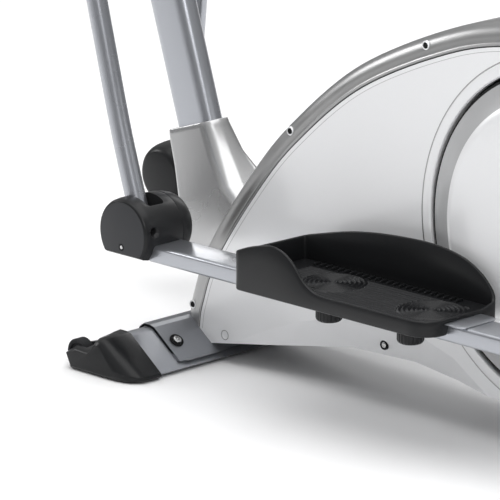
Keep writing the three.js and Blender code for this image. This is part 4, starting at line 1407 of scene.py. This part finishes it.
# Console. Levels list (height, length, width, shift, corner radius); digits list (text, x, y, size).
consoleSet = {
    "place": (-214, 1392), "tilt": 58, "buttons": (-66, -22, 22, 66), "buttonX": 68,
    "levels": [
        (-62, 116, 106, 30, 20), (-58, 124, 116, 30, 24), (-40, 190, 248, 10, 26), (-12, 214, 292, 0, 26),
        (-7, 216, 296, 0, 27), (-3, 215, 295, 0, 27), (-0.8, 211, 291, 0, 25), (0, 206, 286, 0, 23),
    ],
    "digits": [
        ("00:00", -0.034, -0.085, 0.030), ("000", -0.034, 0.030, 0.030),
        ("0.0", 0.016, -0.085, 0.022), ("88", 0.016, 0.045, 0.022),
    ],
}


def makeConsoleBody(space):
    s = consoleSet
    rings = []
    for z, long, wide, shift, radius in s["levels"]:
        low, high = (shift - long / 2, -wide / 2), (shift + long / 2, wide / 2)
        outline = roundedOutline(low, high, (radius,) * 4, 10)
        rings.append([Vector((x * mm, y * mm, z * mm)) for x, y in outline])
    body = loftPiece("consoleBody", rings)
    carve(body, block("screenRoom", (-0.075, -0.113, -0.009), (0.041, 0.113, 0.01)))
    for y in s["buttons"]:
        place = (s["buttonX"] * mm, y * mm, 0)
        profile = [(0, -0.012), (0.0113, -0.012), (0.0113, 0.01), (0, 0.01)]
        carve(body, turned("buttonRoom", profile, place, "Z", 32))
    body.data.transform(space)
    finishPiece(body, "frame", "black_plastic", None, ["console_housing"], 30)


def makeScreen(space):
    outer = roundedOutline((-0.078, -0.116), (0.044, 0.116), (0.008,) * 4, 6)
    inner = roundedOutline((-0.070, -0.108), (0.036, 0.108), (0.005,) * 4, 6)
    bezel = platePiece("bezel", [outer, inner], -0.0012, 0.0016, 0.0007, plan=True)
    bezel.data.transform(space)
    bezel.name = "screenBezel"
    finishPiece(bezel, "frame", "satin_band")
    window = block("screenWindow", (-0.0745, -0.1125, -0.0086), (0.0405, 0.1125, -0.0010), 0.0006, 2)
    window.data.transform(space)
    finishPiece(window, "frame", "screen", None, ["console_screen"])
    for number, (text, x, y, size) in enumerate(consoleSet["digits"]):
        curve = bpy.data.curves.new("digits", "FONT")
        curve.body = text
        curve.size = size
        curve.extrude = 0.2 * mm
        piece = meshFromCurve(f"screenDigits{number}", curve)
        turn = Matrix.Rotation(math.pi / 2, 4, "Z")
        piece.data.transform(space @ Matrix.Translation((x, y, -0.6 * mm)) @ turn)
        finishPiece(piece, "frame", "screen", "digits")


def makeConsole():
    s = consoleSet
    x, z = s["place"]
    tilt = Matrix.Rotation(math.radians(s["tilt"]), 4, "Y")
    space = Matrix.Translation((machineX(x), 0, z * mm)) @ tilt
    makeConsoleBody(space)
    makeScreen(space)
    for number, y in enumerate(s["buttons"], 1):
        node = f"console_button_{number}"
        button = turned("button", [
            (0, 0.0022), (0.006, 0.0020), (0.0095, 0.0014), (0.0108, 0.0002), (0.0109, -0.010), (0, -0.010),
        ], (s["buttonX"] * mm, y * mm, 0), "Z", 40)
        button.data.transform(space)
        button.name = f"button_{number}"
        finishPiece(button, node, "rubber", "greyPlastic", [node])
    print("console made")


def makeFloor():
    bpy.ops.mesh.primitive_plane_add(size=40, location=(0, 0, -0.0004))
    floor = bpy.context.object
    floor.name = "floor"
    paint = Finish("paleFloor", Roughness=0.75)
    paint.feed(Base_Color=paint.mix(paint.noise(2.0), (0.93, 0.93, 0.935, 1), (0.95, 0.95, 0.952, 1)))
    floor.data.materials.append(paint.material)
    bpy.ops.object.select_all(action="DESELECT")


def paintFrameNodes():
    slotOf = {part["node"]: part["material_slot"] for part in frame["record"]["subparts"]}
    for name, node in frame["nodes"].items():
        node.data.materials.clear()
        node.data.materials.append(finishes[slotOf[name]])


makeCamera()
makeLights()
makeFinishes()
makeFloor()
paintFrameNodes()
print("stage made")
makePedals()
makeKnobs()
makePedalArms()
makeKnuckles()
makeSwingArms()
makeSwingGrips()
makeMast()
makeBoot()
makeShells()
makeRimBand()
makeScrews()
makeDiscs()
makeCranks()
makeStabilisers()
makeFrontCaps()
makeRearFeet()
makeSaddleBolts()
makeHandlebar()
makeConsole()
